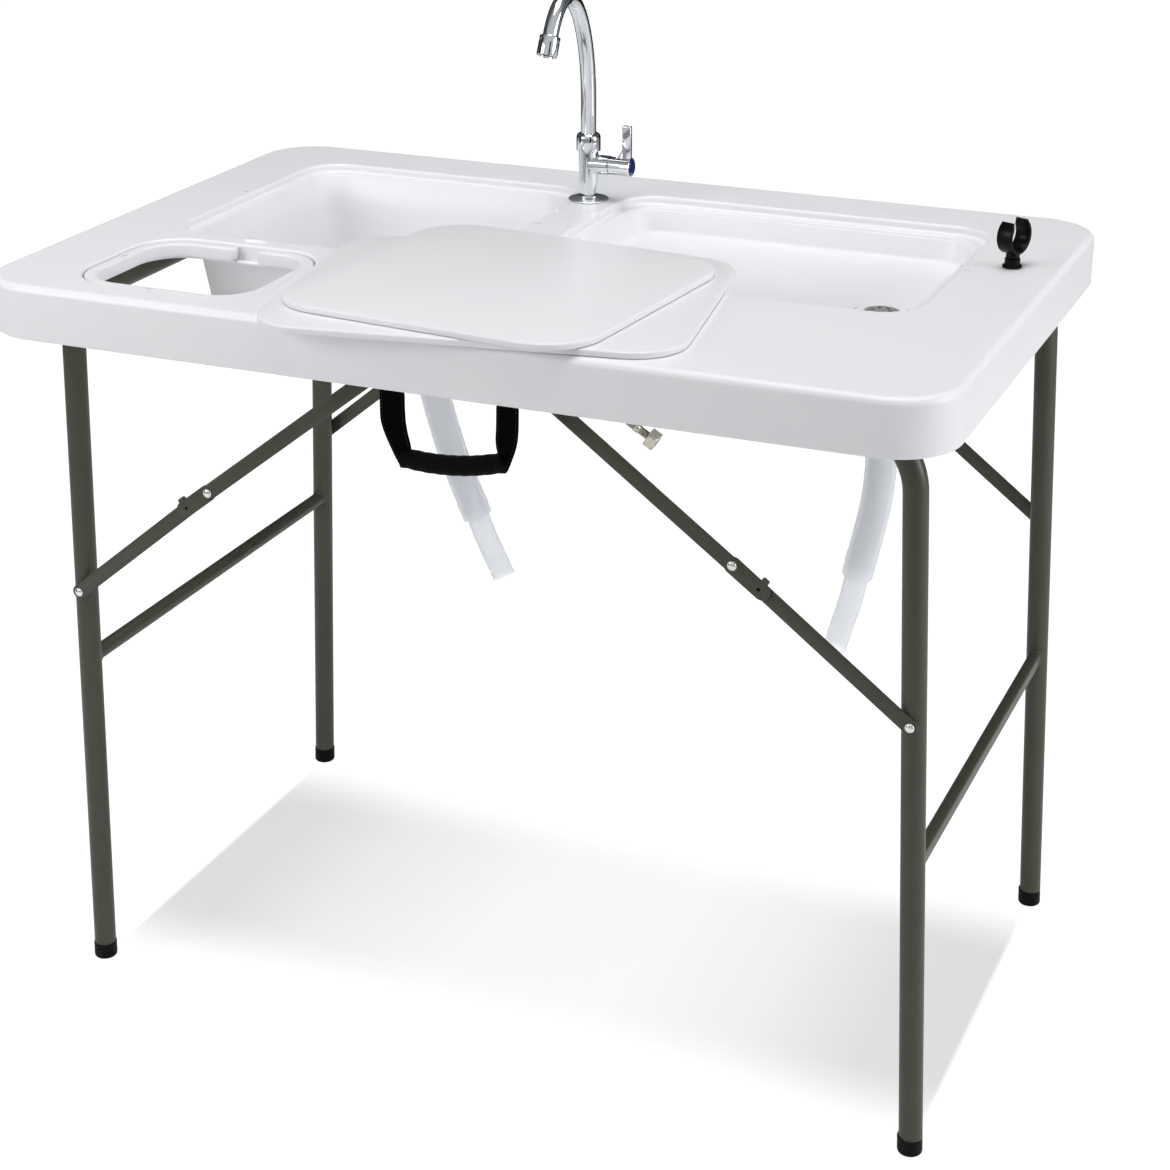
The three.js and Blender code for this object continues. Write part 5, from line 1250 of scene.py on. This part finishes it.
# %% Pivot tubes with open ends, and crossbars with weld beads
PIVOT_HALF = 334
PIVOT_RADIUS = 12.5
PIVOT_BORE = 11
for side, (x, z) in (("left", LEFT_PIVOT), ("right", RIGHT_PIVOT)):
    path = [at(x, y, z) for y in (-PIVOT_HALF, -PIVOT_HALF + 0.6, 0, PIVOT_HALF - 0.6, PIVOT_HALF)]
    piece(
        f"{side}_open_pivot_tube",
        tube_shell(
            path, [PIVOT_RADIUS - 0.5, *[PIVOT_RADIUS] * 3, PIVOT_RADIUS - 0.5], 48,
            [PIVOT_BORE + 0.2, *[PIVOT_BORE] * 3, PIVOT_BORE + 0.2],
        ),
        frame_paint, f"{side}_frame", replaces=[f"{side}_pivot_tube"],
    )

LEFT_BAR_Z = 438
LEFT_BAR_RADIUS = 9.5
RIGHT_BAR_Z = 373.4
left_bar_x = on_line(LEFT_FOOT, LEFT_PIVOT, LEFT_BAR_Z)
right_bar_x = on_line(RIGHT_FOOT, RIGHT_BEND, RIGHT_BAR_Z)
bar_reach = [-296, -285, 0, 285, 296]
piece(
    "left_round_crossbar",
    tube_shell([at(left_bar_x, y, LEFT_BAR_Z) for y in bar_reach], [LEFT_BAR_RADIUS] * 5, 40),
    frame_paint, "left_frame", replaces=["left_crossbar"],
)
lean_side = Vector((math.cos(right_lean), 0, math.sin(right_lean)))
lean_up = Vector((-math.sin(right_lean), 0, math.cos(right_lean)))
piece(
    "right_flat_crossbar",
    swept_shell(
        [at(right_bar_x, y, RIGHT_BAR_Z) for y in bar_reach],
        [lean_side] * 5, [lean_up] * 5, [soft_section(7.5, 9.5, 4.5, 6)] * 5,
    ),
    frame_paint, "right_frame", replaces=["right_crossbar"],
)


BEAD_SIZE = 1.7
BEAD_SIDES = 10


def weld_bead(name, centre, sign, section, body):
    """An uneven bead round a bar's end, laid against a leg; section is the bar's outline."""
    loops = []
    for ring in range(BEAD_SIDES):
        turn = ring / BEAD_SIDES * 2 * math.pi
        loop = []
        for k, (u, v) in enumerate(section):
            wide = BEAD_SIZE + 0.25 * math.sin(k * 2.3) + 0.15 * math.sin(k * 5.1)
            out = 1 + wide * math.cos(turn) / math.hypot(u, v)
            across = u * out
            upward = v * out
            gap = FRAME_HALF - math.sqrt(max(TUBE_RADIUS ** 2 - min(abs(across), 12) ** 2, 0))
            depth = gap - wide * (0.2 + math.sin(turn))
            loop.append(centre + (lean_side * across + lean_up * upward + Vector((0, sign * depth, 0))) * MM)
        loops.append(loop)
    piece(name, loft(loops, closed=True), frame_paint, body, crease=80)


round_section = []
for k in range(40):
    turn = k / 40 * 2 * math.pi
    reach = LEFT_BAR_RADIUS + 0.1
    round_section.append((reach * math.cos(turn), reach * math.sin(turn)))
flat_section = soft_section(7.6, 9.6, 4.5, 9)
for end, sign in ENDS:
    weld_bead(f"left_weld_{end}", at(left_bar_x, 0, LEFT_BAR_Z), sign, round_section, "left_frame")
    weld_bead(f"right_weld_{end}", at(right_bar_x, 0, RIGHT_BAR_Z), sign, flat_section, "right_frame")

# %% Feet
FOOT_PROFILE = [
    (0.01, 0), (12, 0), (13.5, 0.5), (14.5, 1.7), (14.9, 3.4), (14.9, 7), (14.4, 7.5), (14.4, 8.6),
    (14.9, 9.1), (14.9, 12), (14.4, 12.5), (14.4, 13.6), (14.9, 14.1), (14.9, 20.8), (14.7, 21.7),
    (14.2, 22), (13.6, 21.8), (13.6, 16),
]
FOOT_INWARD = {"left": 0, "right": -0.95}
for side, foot, top in (("left", LEFT_FOOT, LEFT_PIVOT), ("right", RIGHT_FOOT, RIGHT_BEND)):
    for end, sign in ENDS:
        loops = []
        for radius, z in FOOT_PROFILE:
            centre = at(on_line(foot, top, z) + FOOT_INWARD[side], sign * FRAME_HALF, z)
            loops.append(circle(centre, RIGHT, BACK, radius, 48))
        piece(
            f"{side}_foot_cap_{end}", loft(loops), black_plastic, f"{side}_frame",
            replaces=[f"{side}_foot_{end}"],
        )
print("frames: 2")

# %% [markdown]
# ## The braces
#
# A brace of two flat bars holds each side of a frame open. The lower bar is riveted to the
# leg, and the upper one turns on a pin under the top. At the elbow the upper bar widens
# into a cover with a folded tab, which locks on the lower bar's edge, and a hole for the
# lock spring. Flat bars are punched from strip, so their edges are only just softened.

# %% Flat bars


def bar_outline(a, b, half, steps=12):
    """A flat bar's outline with round ends, as X and Z on the drawing, counter-clockwise."""
    angle = math.atan2(b[1] - a[1], b[0] - a[0])
    outline = []
    for (x, z), start in ((b, angle - math.pi / 2), (a, angle + math.pi / 2)):
        for k in range(steps + 1):
            turn = start + k / steps * math.pi
            outline.append((x + half * math.cos(turn), z + half * math.sin(turn)))
    return outline


def upright(sign):
    """Places of an upright plate: X, Z and how far it lies from the middle."""
    return lambda x, z, y: at(x, sign * y, z)


def moved_along(a, b, way, up=0):
    """A place on the line from a to b, and above it."""
    length = math.hypot(b[0] - a[0], b[1] - a[1])
    dx = (b[0] - a[0]) / length
    dz = (b[1] - a[1]) / length
    flip = 1 if dx > 0 else -1
    return (a[0] + dx * way - dz * up * flip, a[1] + dz * way + dx * up * flip)


LOWER_BAR = (317.5, 320)
UPPER_BAR = (320.5, 323)
COVER_END = -42.5
HOLE_AT = -38
TAB = [(-33.5, 8), (-42.5, 8), (-42.5, 12.6), (-41.1, 14), (-34.9, 14), (-33.5, 12.6)]
BRACES = {
    "left": ((-506.54, 534.6), (-311.1, 694.9), (-83.25, 872.02)),
    "right": ((545.14, 552.9), (340.7, 709.2), (108.89, 880.1)),
}
for side, (rivet, elbow, pin) in BRACES.items():
    for end, sign in ENDS:
        piece(
            f"{side}_lower_bar_{end}",
            plate_between(bar_outline(rivet, elbow, 9), *LOWER_BAR, 0.5, upright(sign), 2),
            frame_paint, f"{side}_brace_lower_{end}",
            replaces=[f"{side}_brace_lower_{end}"],
        )
        cover_end = moved_along(elbow, pin, COVER_END)
        tab_corners = [moved_along(elbow, pin, way, up) for way, up in TAB]
        if side == "left":
            tab_corners.reverse()
        upper = piece(
            f"{side}_upper_bar_{end}",
            plate_between(bar_outline(pin, elbow, 9), *UPPER_BAR, 0.5, upright(sign), 2), frame_paint, None,
        )
        cover = plate_between(bar_outline(cover_end, elbow, 10), 320.45, 323.3, 0.7, upright(sign), 3)
        tab = plate_between(tab_corners, 317.6, 323.2, 0.4, upright(sign), 1)
        carve(upper, [piece("cover", cover, frame_paint, None), piece("tab", tab, frame_paint, None)],
              operation="UNION")
        hole = moved_along(elbow, pin, HOLE_AT)
        cutter = piece(
            "hole_cutter",
            tube_shell([at(hole[0], sign * y, hole[1]) for y in (315, 326)], [2.3, 2.3], 24),
            frame_paint, None,
        )
        carve(upper, [cutter])
        settle(upper, f"{side}_brace_upper_{end}", [f"{side}_brace_upper_{end}"])
print("bars: 8")

# %% [markdown]
# ## Rivets
#
# There are a dozen equal rivets, so they repeat one head by Geometry Nodes. The tree takes
# a cloud of places, each with the direction that its head faces, and puts a domed head on a
# thin rim at every place. The result is turned into plain meshes, one for each body that
# the rivets ride on.

# %% A tree that repeats a shape


def pressed_sphere(tree, segments, rings, across, upward):
    """A sphere with one radius across and another one upward."""
    sphere = added(tree, "GeometryNodeMeshUVSphere", {"Segments": segments, "Rings": rings, "Radius": 1})
    sizes = added(tree, "ShaderNodeCombineXYZ", {"X": across, "Y": across, "Z": upward})
    return added(tree, "GeometryNodeTransform", {
        "Geometry": sphere.outputs["Mesh"], "Scale": sizes.outputs["Vector"],
    }).outputs["Geometry"]


def repeating_tree(name, sizes, finish_label, output, shape):
    """A tree that sets a shape at every place of a cloud, turned to where the place faces."""
    tree = bpy.data.node_groups.new(name, "GeometryNodeTree")
    kinds = {"Places": "Geometry", **dict.fromkeys(sizes, "Float"), finish_label: "Material"}
    for label, kind in kinds.items():
        made = tree.interface.new_socket(label, in_out="INPUT", socket_type=f"NodeSocket{kind}")
        if label in sizes:
            made.default_value = sizes[label]
    tree.interface.new_socket(output, in_out="OUTPUT", socket_type="NodeSocketGeometry")
    given = added(tree, "NodeGroupInput").outputs
    facing = added(tree, "GeometryNodeInputNamedAttribute", {"Name": "facing"}, data_type="FLOAT_VECTOR")
    way = facing.outputs["Attribute"]
    turned = added(tree, "FunctionNodeAlignRotationToVector", {"Vector": way}, axis="Z")
    spread = added(tree, "GeometryNodeInstanceOnPoints", {
        "Points": given["Places"], "Instance": shape(tree, given), "Rotation": turned.outputs["Rotation"],
    })
    plain = added(tree, "GeometryNodeRealizeInstances", {"Geometry": spread.outputs["Instances"]})
    painted = added(tree, "GeometryNodeSetMaterial", {
        "Geometry": plain.outputs["Geometry"], "Material": given[finish_label],
    })
    added(tree, "NodeGroupOutput", {output: painted.outputs["Geometry"]})
    return tree


def repeated(name, tree, spots, settings, body):
    """Places and directions run through a tree and made plain; settings are input values."""
    mesh = bpy.data.meshes.new(name)
    mesh.from_pydata([tuple(place) for place, _ in spots], [], [])
    store = mesh.attributes.new("facing", "FLOAT_VECTOR", "POINT")
    for item, (_, direction) in zip(store.data, spots):
        item.vector = direction
    cloud = bpy.data.objects.new(name, mesh)
    bpy.context.scene.collection.objects.link(cloud)
    change = cloud.modifiers.new("repeat", "NODES")
    change.node_group = tree
    for label, value in settings.items():
        change[tree.interface.items_tree[label].identifier] = value
    plain = made_plain(cloud)
    plain.shade_smooth()
    plain.set_sharp_from_angle(angle=math.radians(40))
    settle(cloud, body)


# %% Domed heads, one mesh for each body


def domed_head(tree, given):
    """A dome on a thin rim that is a little wider."""
    radius = given["Head radius"]
    rim = added(tree, "GeometryNodeMeshCylinder", {
        "Vertices": 28, "Depth": 1.1 * MM, "Radius": maths(tree, "MULTIPLY", radius, 1.08),
    })
    head = added(tree, "GeometryNodeJoinGeometry", {"Geometry": rim.outputs["Mesh"]})
    tree.links.new(pressed_sphere(tree, 28, 14, radius, given["Head height"]), head.inputs["Geometry"])
    return head.outputs["Geometry"]


rivets = repeating_tree(
    "domed_rivets", {"Head radius": 6.5 * MM, "Head height": 2.6 * MM}, "Finish", "Heads", domed_head,
)
RIVET_HEAD = {"Head radius": 5 * MM, "Head height": 2.3 * MM, "Finish": rivet_steel}
RIVET_FACE = 320.3
ELBOW_FACE = 323.3
PIN_FACE = 327
rivet_spots = {"top": [], "left_frame": [], "right_frame": []}
for side, (rivet, elbow, pin) in BRACES.items():
    for end, sign in ENDS:
        out = Vector((0, sign, 0))
        rivet_spots[f"{side}_frame"].append((at(rivet[0], sign * RIVET_FACE, rivet[1]), out))
        rivet_spots[f"{side}_brace_upper_{end}"] = [(at(elbow[0], sign * ELBOW_FACE, elbow[1]), out)]
        rivet_spots["top"].append((at(pin[0], sign * PIN_FACE, pin[1]), out))
for body, spots in rivet_spots.items():
    repeated(f"rivets_{body}", rivets, spots, RIVET_HEAD, body)

# %% Bosses that carry the bars off the legs
for side, (rivet, elbow, pin) in BRACES.items():
    for end, sign in ENDS:
        spacer = tube_shell(
            [at(rivet[0], sign * y, rivet[1]) for y in (303, 316.6, 317.2)], [8.3, 8.3, 7.8], 36,
        )
        shank = tube_shell([at(rivet[0], sign * y, rivet[1]) for y in (316, 320.6)], [3.9, 3.9], 20)
        piece(f"{side}_boss_{end}", together(spacer, shank), frame_paint, f"{side}_frame")
print("rivets:", sum(len(spots) for spots in rivet_spots.values()))

# %% [markdown]
# ## The tap
#
# A plain gooseneck: a thin deck plate, a body that is waisted at its foot, a rounded collar
# nut, a bent tube and an aerator, all polished and chromed. The valve's barrel stands out to
# the right, with a flat lever and a blue index disc. Every piece but the lever and the tube
# is turned, so each is one profile about an axis.

# %% Body, collar and barrel
BARREL_Z = 987
TAP_SIDES = 56
TAP_FOOT = at(TAP_X, TAP_Y, TOP_HEIGHT)
BARREL_FOOT = at(TAP_X, TAP_Y, BARREL_Z)
piece(
    "tap_base_disc",
    turned_shell([
        (8.7, 0.3), (25.4, 0.3), (26, 0.9), (26, 1.6), (25, 2.6), (22, 3.2), (14, 3.3), (8.7, 3.3),
    ], TAP_FOOT, UP, 64),
    satin_chrome, "top", replaces=["tap_deck_plate"],
)
body_profile = [(8.5, -63.7)]
for k in range(17):
    body_profile.extend([(8.5, -62.4 + k * 2), (7.8, -61.4 + k * 2)])
body_profile.extend([
    (8.5, -28), (8.5, 3.4), (12.4, 3.6), (13, 4), (13, 6), (12.6, 6.6), (10.8, 7.4), (10, 8.6), (10.1, 11),
    (10.9, 16), (12, 22), (12.5, 27), (12.5, 63.4), (12.1, 64), (8, 64),
])
barrel = turned_shell(
    [(6, 0), (12.3, 0), (12.3, 29.4), (11.9, 30), (6, 30)], BARREL_FOOT, RIGHT, TAP_SIDES,
)
piece(
    "tap_turned_body", together(turned_shell(body_profile, TAP_FOOT, UP, TAP_SIDES), barrel), chrome, "top",
    replaces=["tap_body"],
)
piece(
    "tap_round_collar",
    turned_shell([
        (9.9, 64.3), (15, 64.3), (15.5, 64.9), (15.5, 81.5), (15.1, 83.8), (14, 85.6), (12.3, 86.7),
        (10.6, 87), (10.05, 86.8), (10.05, 84),
    ], TAP_FOOT, UP, TAP_SIDES),
    chrome, "top", replaces=["tap_collar"],
)

# %% Gooseneck and aerator
SPOUT_RADIUS = 9.75
BOW_START = 128
BOW_REACH = 59
BOW_RISE = 137
BOW_ANGLE = 2.34
BOW_STEPS = 60
spout_turn = math.radians(-5)
spout_out = Vector((math.sin(spout_turn), -math.cos(spout_turn), 0))
spout_path = [TAP_FOOT + UP * rise * MM for rise in (73, 90, 110, BOW_START)]
for k in range(1, BOW_STEPS + 1):
    angle = BOW_ANGLE * k / BOW_STEPS
    out = BOW_REACH * (1 - math.cos(angle))
    rise = BOW_START + BOW_RISE * math.sin(angle)
    spout_path.append(TAP_FOOT + (spout_out * out + UP * rise) * MM)
nose_ahead = spout_out * BOW_REACH * math.sin(BOW_ANGLE) + UP * BOW_RISE * math.cos(BOW_ANGLE)
nose_ahead.normalize()
spout_path.append(spout_path[-1] + nose_ahead * 9 * MM)
piece(
    "tap_gooseneck", tube_shell(spout_path, [SPOUT_RADIUS] * len(spout_path), 48), chrome, "spout",
    replaces=["tap_spout"],
)
aerator_foot = spout_path[-1] - nose_ahead * 7.7 * MM
piece(
    "tap_turned_aerator",
    turned_shell([
        (9.8, 0), (11.8, 0), (12.7, 0.5), (13, 1.4), (13, 5.4), (12.5, 5.8), (12.5, 6.6), (13, 7),
        (13, 23.6), (12.6, 24.6), (11.8, 25), (10.7, 24.8), (10.5, 24.2), (10.5, 21), (0.01, 20.6),
    ], aerator_foot, nose_ahead, TAP_SIDES),
    chrome, "spout", replaces=["tap_aerator"],
)
piece(
    "tap_aerator_screen",
    turned_shell(
        [(0.01, 21), (10.2, 21), (10.2, 21.6), (6.5, 22.4), (0.01, 22.7)], aerator_foot, nose_ahead, 40,
    ),
    black_plastic, "spout",
)

# %% Lever and index disc
lever_knob = turned_shell([
    (6, 30.3), (11, 30.3), (11.5, 30.9), (11.5, 46), (11.8, 54), (12.3, 58.4), (12.3, 59.4), (11.9, 59.7),
    (10.6, 59.8), (10.4, 59.4), (0.01, 59.4),
], BARREL_FOOT, RIGHT, TAP_SIDES)
blade_outline = [
    (36, 4), (59.2, 4), (59.2, 51.8), (58.9, 52.6), (58.1, 53), (48.3, 53), (47.5, 52.6), (47.2, 51.8),
]
for k in range(9):
    share = k / 8
    blade_outline.append((
        47.2 * (1 - share) ** 2 + 47 * 2 * share * (1 - share) + 36 * share ** 2,
        27 * (1 - share) ** 2 + 14 * 2 * share * (1 - share) + 11 * share ** 2,
    ))


def blade_place(x, z, y):
    """The lever's blade lies in the barrel's plane and faces the front."""
    return at(TAP_X + x, TAP_Y + y, BARREL_Z + z)


blade = plate_between(blade_outline, -2.75, 2.75, 1.1, blade_place, 3)
piece(
    "tap_flat_lever", together(lever_knob, blade), chrome, "lever", replaces=["tap_lever"],
)
piece(
    "tap_blue_disc",
    turned_shell([(0.01, 59.8), (10, 59.8), (10, 60.5), (9.5, 61), (7, 61.2), (0.01, 61.2)],
                 BARREL_FOOT, RIGHT, 48),
    index_blue, "lever", replaces=["tap_index"],
)
print("tap's height:", round((spout_path[40].z - TAP_FOOT.z) * 1000), "mm")

# %% [markdown]
# ## The rod clip
#
# A black nylon clip plugs into the top's right end. It is an open ring with flared jaws on
# a short, ridged stem, and it can be turned to take a rod or a knife.

# %% Clip
CLIP_FOOT = at(519.8, 134, 940.3)
piece(
    "clip_ridged_stem",
    turned_shell([
        (0.01, 0), (11, 0), (11.5, 0.5), (11.5, 2.4), (11, 3), (9.6, 3.1), (9.2, 3.5), (9.2, 5), (8.7, 5.3),
        (8.7, 5.9), (9.2, 6.2), (9.2, 7.6), (8.7, 7.9), (8.7, 8.5), (9.2, 8.8), (9.2, 10.5), (8.6, 11),
        (6, 11.3), (5, 12.3), (5, 15.5), (0.01, 15.7),
    ], CLIP_FOOT, UP, 48),
    black_plastic, "top", replaces=["clip_base"],
)
clip_turn = math.radians(-21.7)
clip_axis = Vector((math.cos(clip_turn), math.sin(clip_turn), 0))
clip_side = Vector((-math.sin(clip_turn), math.cos(clip_turn), 0))
clip_centre = at(519.8, 134, 978.1)
clip_loops = []
CLIP_STEPS = 56
CLIP_START = 128
CLIP_ARC = 284
JAW_ARC = 24
for k in range(CLIP_STEPS + 1):
    angle = math.radians(CLIP_START + CLIP_ARC * k / CLIP_STEPS)
    to_end = min(k, CLIP_STEPS - k) / CLIP_STEPS * CLIP_ARC
    jaw = max(0, 1 - to_end / JAW_ARC)
    out = clip_side * math.cos(angle) + UP * math.sin(angle)
    reach = 19 + 3.4 * jaw ** 2
    half_thick = 2.5 * (1 - 0.72 * jaw ** 1.5)
    half_wide = 10 - 1.6 * jaw ** 2
    clip_loops.append([
        clip_centre + (out * (reach + u) + clip_axis * v) * MM
        for u, v in soft_section(half_thick, half_wide, min(1.2, half_thick * 0.9), 3)
    ])
saddle = turned_shell(
    [(0.01, 11.5), (7.7, 11.5), (8.2, 12.1), (8.2, 15), (7.2, 17.6), (0.01, 17.8)], CLIP_FOOT, UP, 40,
)
piece(
    "clip_open_ring", together(loft(clip_loops), saddle), black_plastic, "clip_ring", crease=44,
    replaces=["clip_ring"],
)
print("clip: 2 pieces")

# %% [markdown]
# ## The carry handle
#
# Two straps of black webbing come out from under the front apron and run into a padded
# grip. The webbing is a flat weave, sewn down along its edges with a thread that sits in
# small, even stitches. The grip is a foam core in a tighter cloth, a little thicker at its
# cuffs, and it hangs in a shallow bow.

# %% Straps
HANDLE_Y = -372
HANDLE_Z = 873
WEB_HALF = 1.3
STRAPS = {
    "left": [(-52, 11), (-52, -22), (-51.5, -38), (-43, -60), (-30, -87), (-24, -86), (-15, -66), (-17, -56),
             (-19.5, -46), (-22, -28), (-22, 11)],
    "right": [(87.6, 11), (87.6, -24), (86.4, -40), (88, -52), (92, -60), (92, -74), (98, -78), (104, -64),
              (111.5, -44), (113.6, -26), (113.6, 11)],
}


def softened(outline):
    """An outline with its corners cut twice."""
    for _ in range(2):
        cut = []
        for (ax, ay), (bx, by) in zip(outline, outline[1:] + outline[:1]):
            cut.append((ax * 0.75 + bx * 0.25, ay * 0.75 + by * 0.25))
            cut.append((ax * 0.25 + bx * 0.75, ay * 0.25 + by * 0.75))
        outline = cut
    return outline


def finer(outline, step):
    """An outline with more places along its long sides."""
    made = []
    for (ax, ay), (bx, by) in zip(outline, outline[1:] + outline[:1]):
        parts = max(1, round(math.hypot(bx - ax, by - ay) / step))
        made.extend((ax + (bx - ax) * k / parts, ay + (by - ay) * k / parts) for k in range(parts))
    return made


def web_place(x, z, y):
    """The webbing bows out a little between the apron and the grip."""
    bow = 1.1 * math.sin(min(max(-z / 80, 0), 1) * math.pi)
    return at(x, HANDLE_Y + y - bow, HANDLE_Z + z)


def wall_map(shell):
    """A flat map of an upright plate: across and up, in metres."""
    return [[(shell[0][i].x, shell[0][i].z) for i in face] for face in shell[1]]


for side, outline in STRAPS.items():
    shell = plate_between(finer(softened(outline), 6), -WEB_HALF, WEB_HALF, 0.5, web_place, 2)
    piece(
        f"webbing_{side}", shell, webbing_cloth, "carry_handle", crease=50,
        replaces=[f"handle_strap_{side}"], mapped=wall_map(shell),
    )

# %% The padded grip
GRIP_LEFT = (-27, -75)
GRIP_RIGHT = (97, -63.5)
grip_path = []
grip_radii = []
GRIP_STEPS = 60
GRIP_SAG = 7
GRIP_RADIUS = 11.2
for k in range(GRIP_STEPS + 1):
    share = k / GRIP_STEPS
    sag = GRIP_SAG * 4 * share * (1 - share)
    x = GRIP_LEFT[0] + (GRIP_RIGHT[0] - GRIP_LEFT[0]) * share
    z = GRIP_LEFT[1] + (GRIP_RIGHT[1] - GRIP_LEFT[1]) * share - sag
    grip_path.append(at(x, HANDLE_Y, HANDLE_Z + z))
    to_end = min(share, 1 - share)
    cuff = math.exp(-((to_end / 0.035) ** 2))
    seam = math.exp(-(((to_end - 0.075) / 0.012) ** 2))
    close = min(1, 0.62 + to_end * 30)
    grip_radii.append((GRIP_RADIUS + 0.7 * cuff - 0.55 * seam + 0.22 * math.sin(k * 0.9)) * close)
grip_shell = tube_shell(grip_path, grip_radii, 40)
grip = piece(
    "padded_grip", grip_shell, grip_cloth, "carry_handle", crease=60,
    replaces=["handle_grip"], mapped=tube_map(grip_shell, grip_path, 11.5, 40),
)

# %% Stitches, repeated by a tree


def one_stitch(tree, given):
    """A short, thin grain of thread."""
    half = maths(tree, "MULTIPLY", given["Stitch length"], 0.5)
    return pressed_sphere(tree, 8, 6, given["Thread radius"], half)


stitches = repeating_tree(
    "stitches", {"Stitch length": 2.6 * MM, "Thread radius": 0.32 * MM}, "Thread", "Seam", one_stitch,
)
thread = finish(
    "thread", [(0.003, 0.003, 0.003), (0.008, 0.008, 0.008)], (0.5, 0.7),
    skin=(2000, 1, 200, 0.5), bump=(0.3, 0.0001),
)
seam_spots = []
for outline in STRAPS.values():
    seam = finer(drawn_in(finer(softened(outline), 6), 2.6), 4.2)
    for (ax, az), (bx, bz) in zip(seam, seam[1:] + seam[:1]):
        if math.hypot(bx - ax, bz - az) < 2:
            continue
        for front in (-1.35, 1.35):
            first = web_place(ax, az, front)
            last = web_place(bx, bz, front)
            seam_spots.append(((first + last) / 2, (last - first).normalized()))
repeated(
    "strap_stitches", stitches, seam_spots,
    {"Stitch length": 2.8 * MM, "Thread radius": 0.33 * MM, "Thread": thread},
    "carry_handle",
)
print("stitches:", len(seam_spots))

# %% [markdown]
# ## Drains
#
# A white flange with a tail is screwed through the floor of each basin, and a small steel
# strainer drops into it. Only the shallow basin's shows in the photograph, as a thin arc.

# %% Drain flanges
for name, x, floor_z in (("deep_drain", -230, 800), ("shallow_drain", 376, 880)):
    seat = floor_z - 1.7
    tail_end = floor_z - 22
    profile = [(17, tail_end), (19.8, tail_end), (20.3, tail_end + 0.6)]
    for k in range(6):
        profile.extend([(20.4, tail_end + 2.2 + k * 2), (19.7, tail_end + 3.2 + k * 2)])
    profile.extend([
        (20.4, seat - 4), (20.4, seat), (31.4, seat), (32, seat + 0.7), (32, seat + 1.4), (31.2, seat + 2.4),
        (29, seat + 3), (23.2, seat + 3), (22, seat + 2.6), (21.5, seat + 1.8), (21.5, seat - 1.2),
        (17.6, seat - 1.6), (17, seat - 2.2), (17, tail_end + 0.5),
    ])
    loops = [circle(at(x, DRAIN_Y, z), RIGHT, BACK, radius, 64) for radius, z in profile]
    piece(
        f"{name}_turned_flange", loft(loops, closed=True), white_plastic, "top",
        replaces=[f"{name}_flange"],
    )

# %% [markdown]
# ## The plain solids that stay
#
# The brackets, hangers, nuts and strainers are right as they are drawn, and hardly show.
# They keep their shape and get the same finishes as the pieces around them.

# %% Finishes on the solids that stay
STAY = {
    black_plastic: ["left_pivot_bracket_front", "left_pivot_bracket_rear",
                    "right_pivot_bracket_front", "right_pivot_bracket_rear"],
    plated_steel: ["left_brace_hanger_front", "left_brace_hanger_rear", "right_brace_hanger_front",
                   "right_brace_hanger_rear", "deep_drain_strainer", "shallow_drain_strainer"],
    nickel: ["tap_nut"],
    white_plastic: ["deep_drain_nut", "shallow_drain_nut"],
}
for material, names in STAY.items():
    for name in names:
        for held in bpy.data.objects[name].material_slots:
            held.material = material
print("solids that stay:", sum(len(names) for names in STAY.values()))
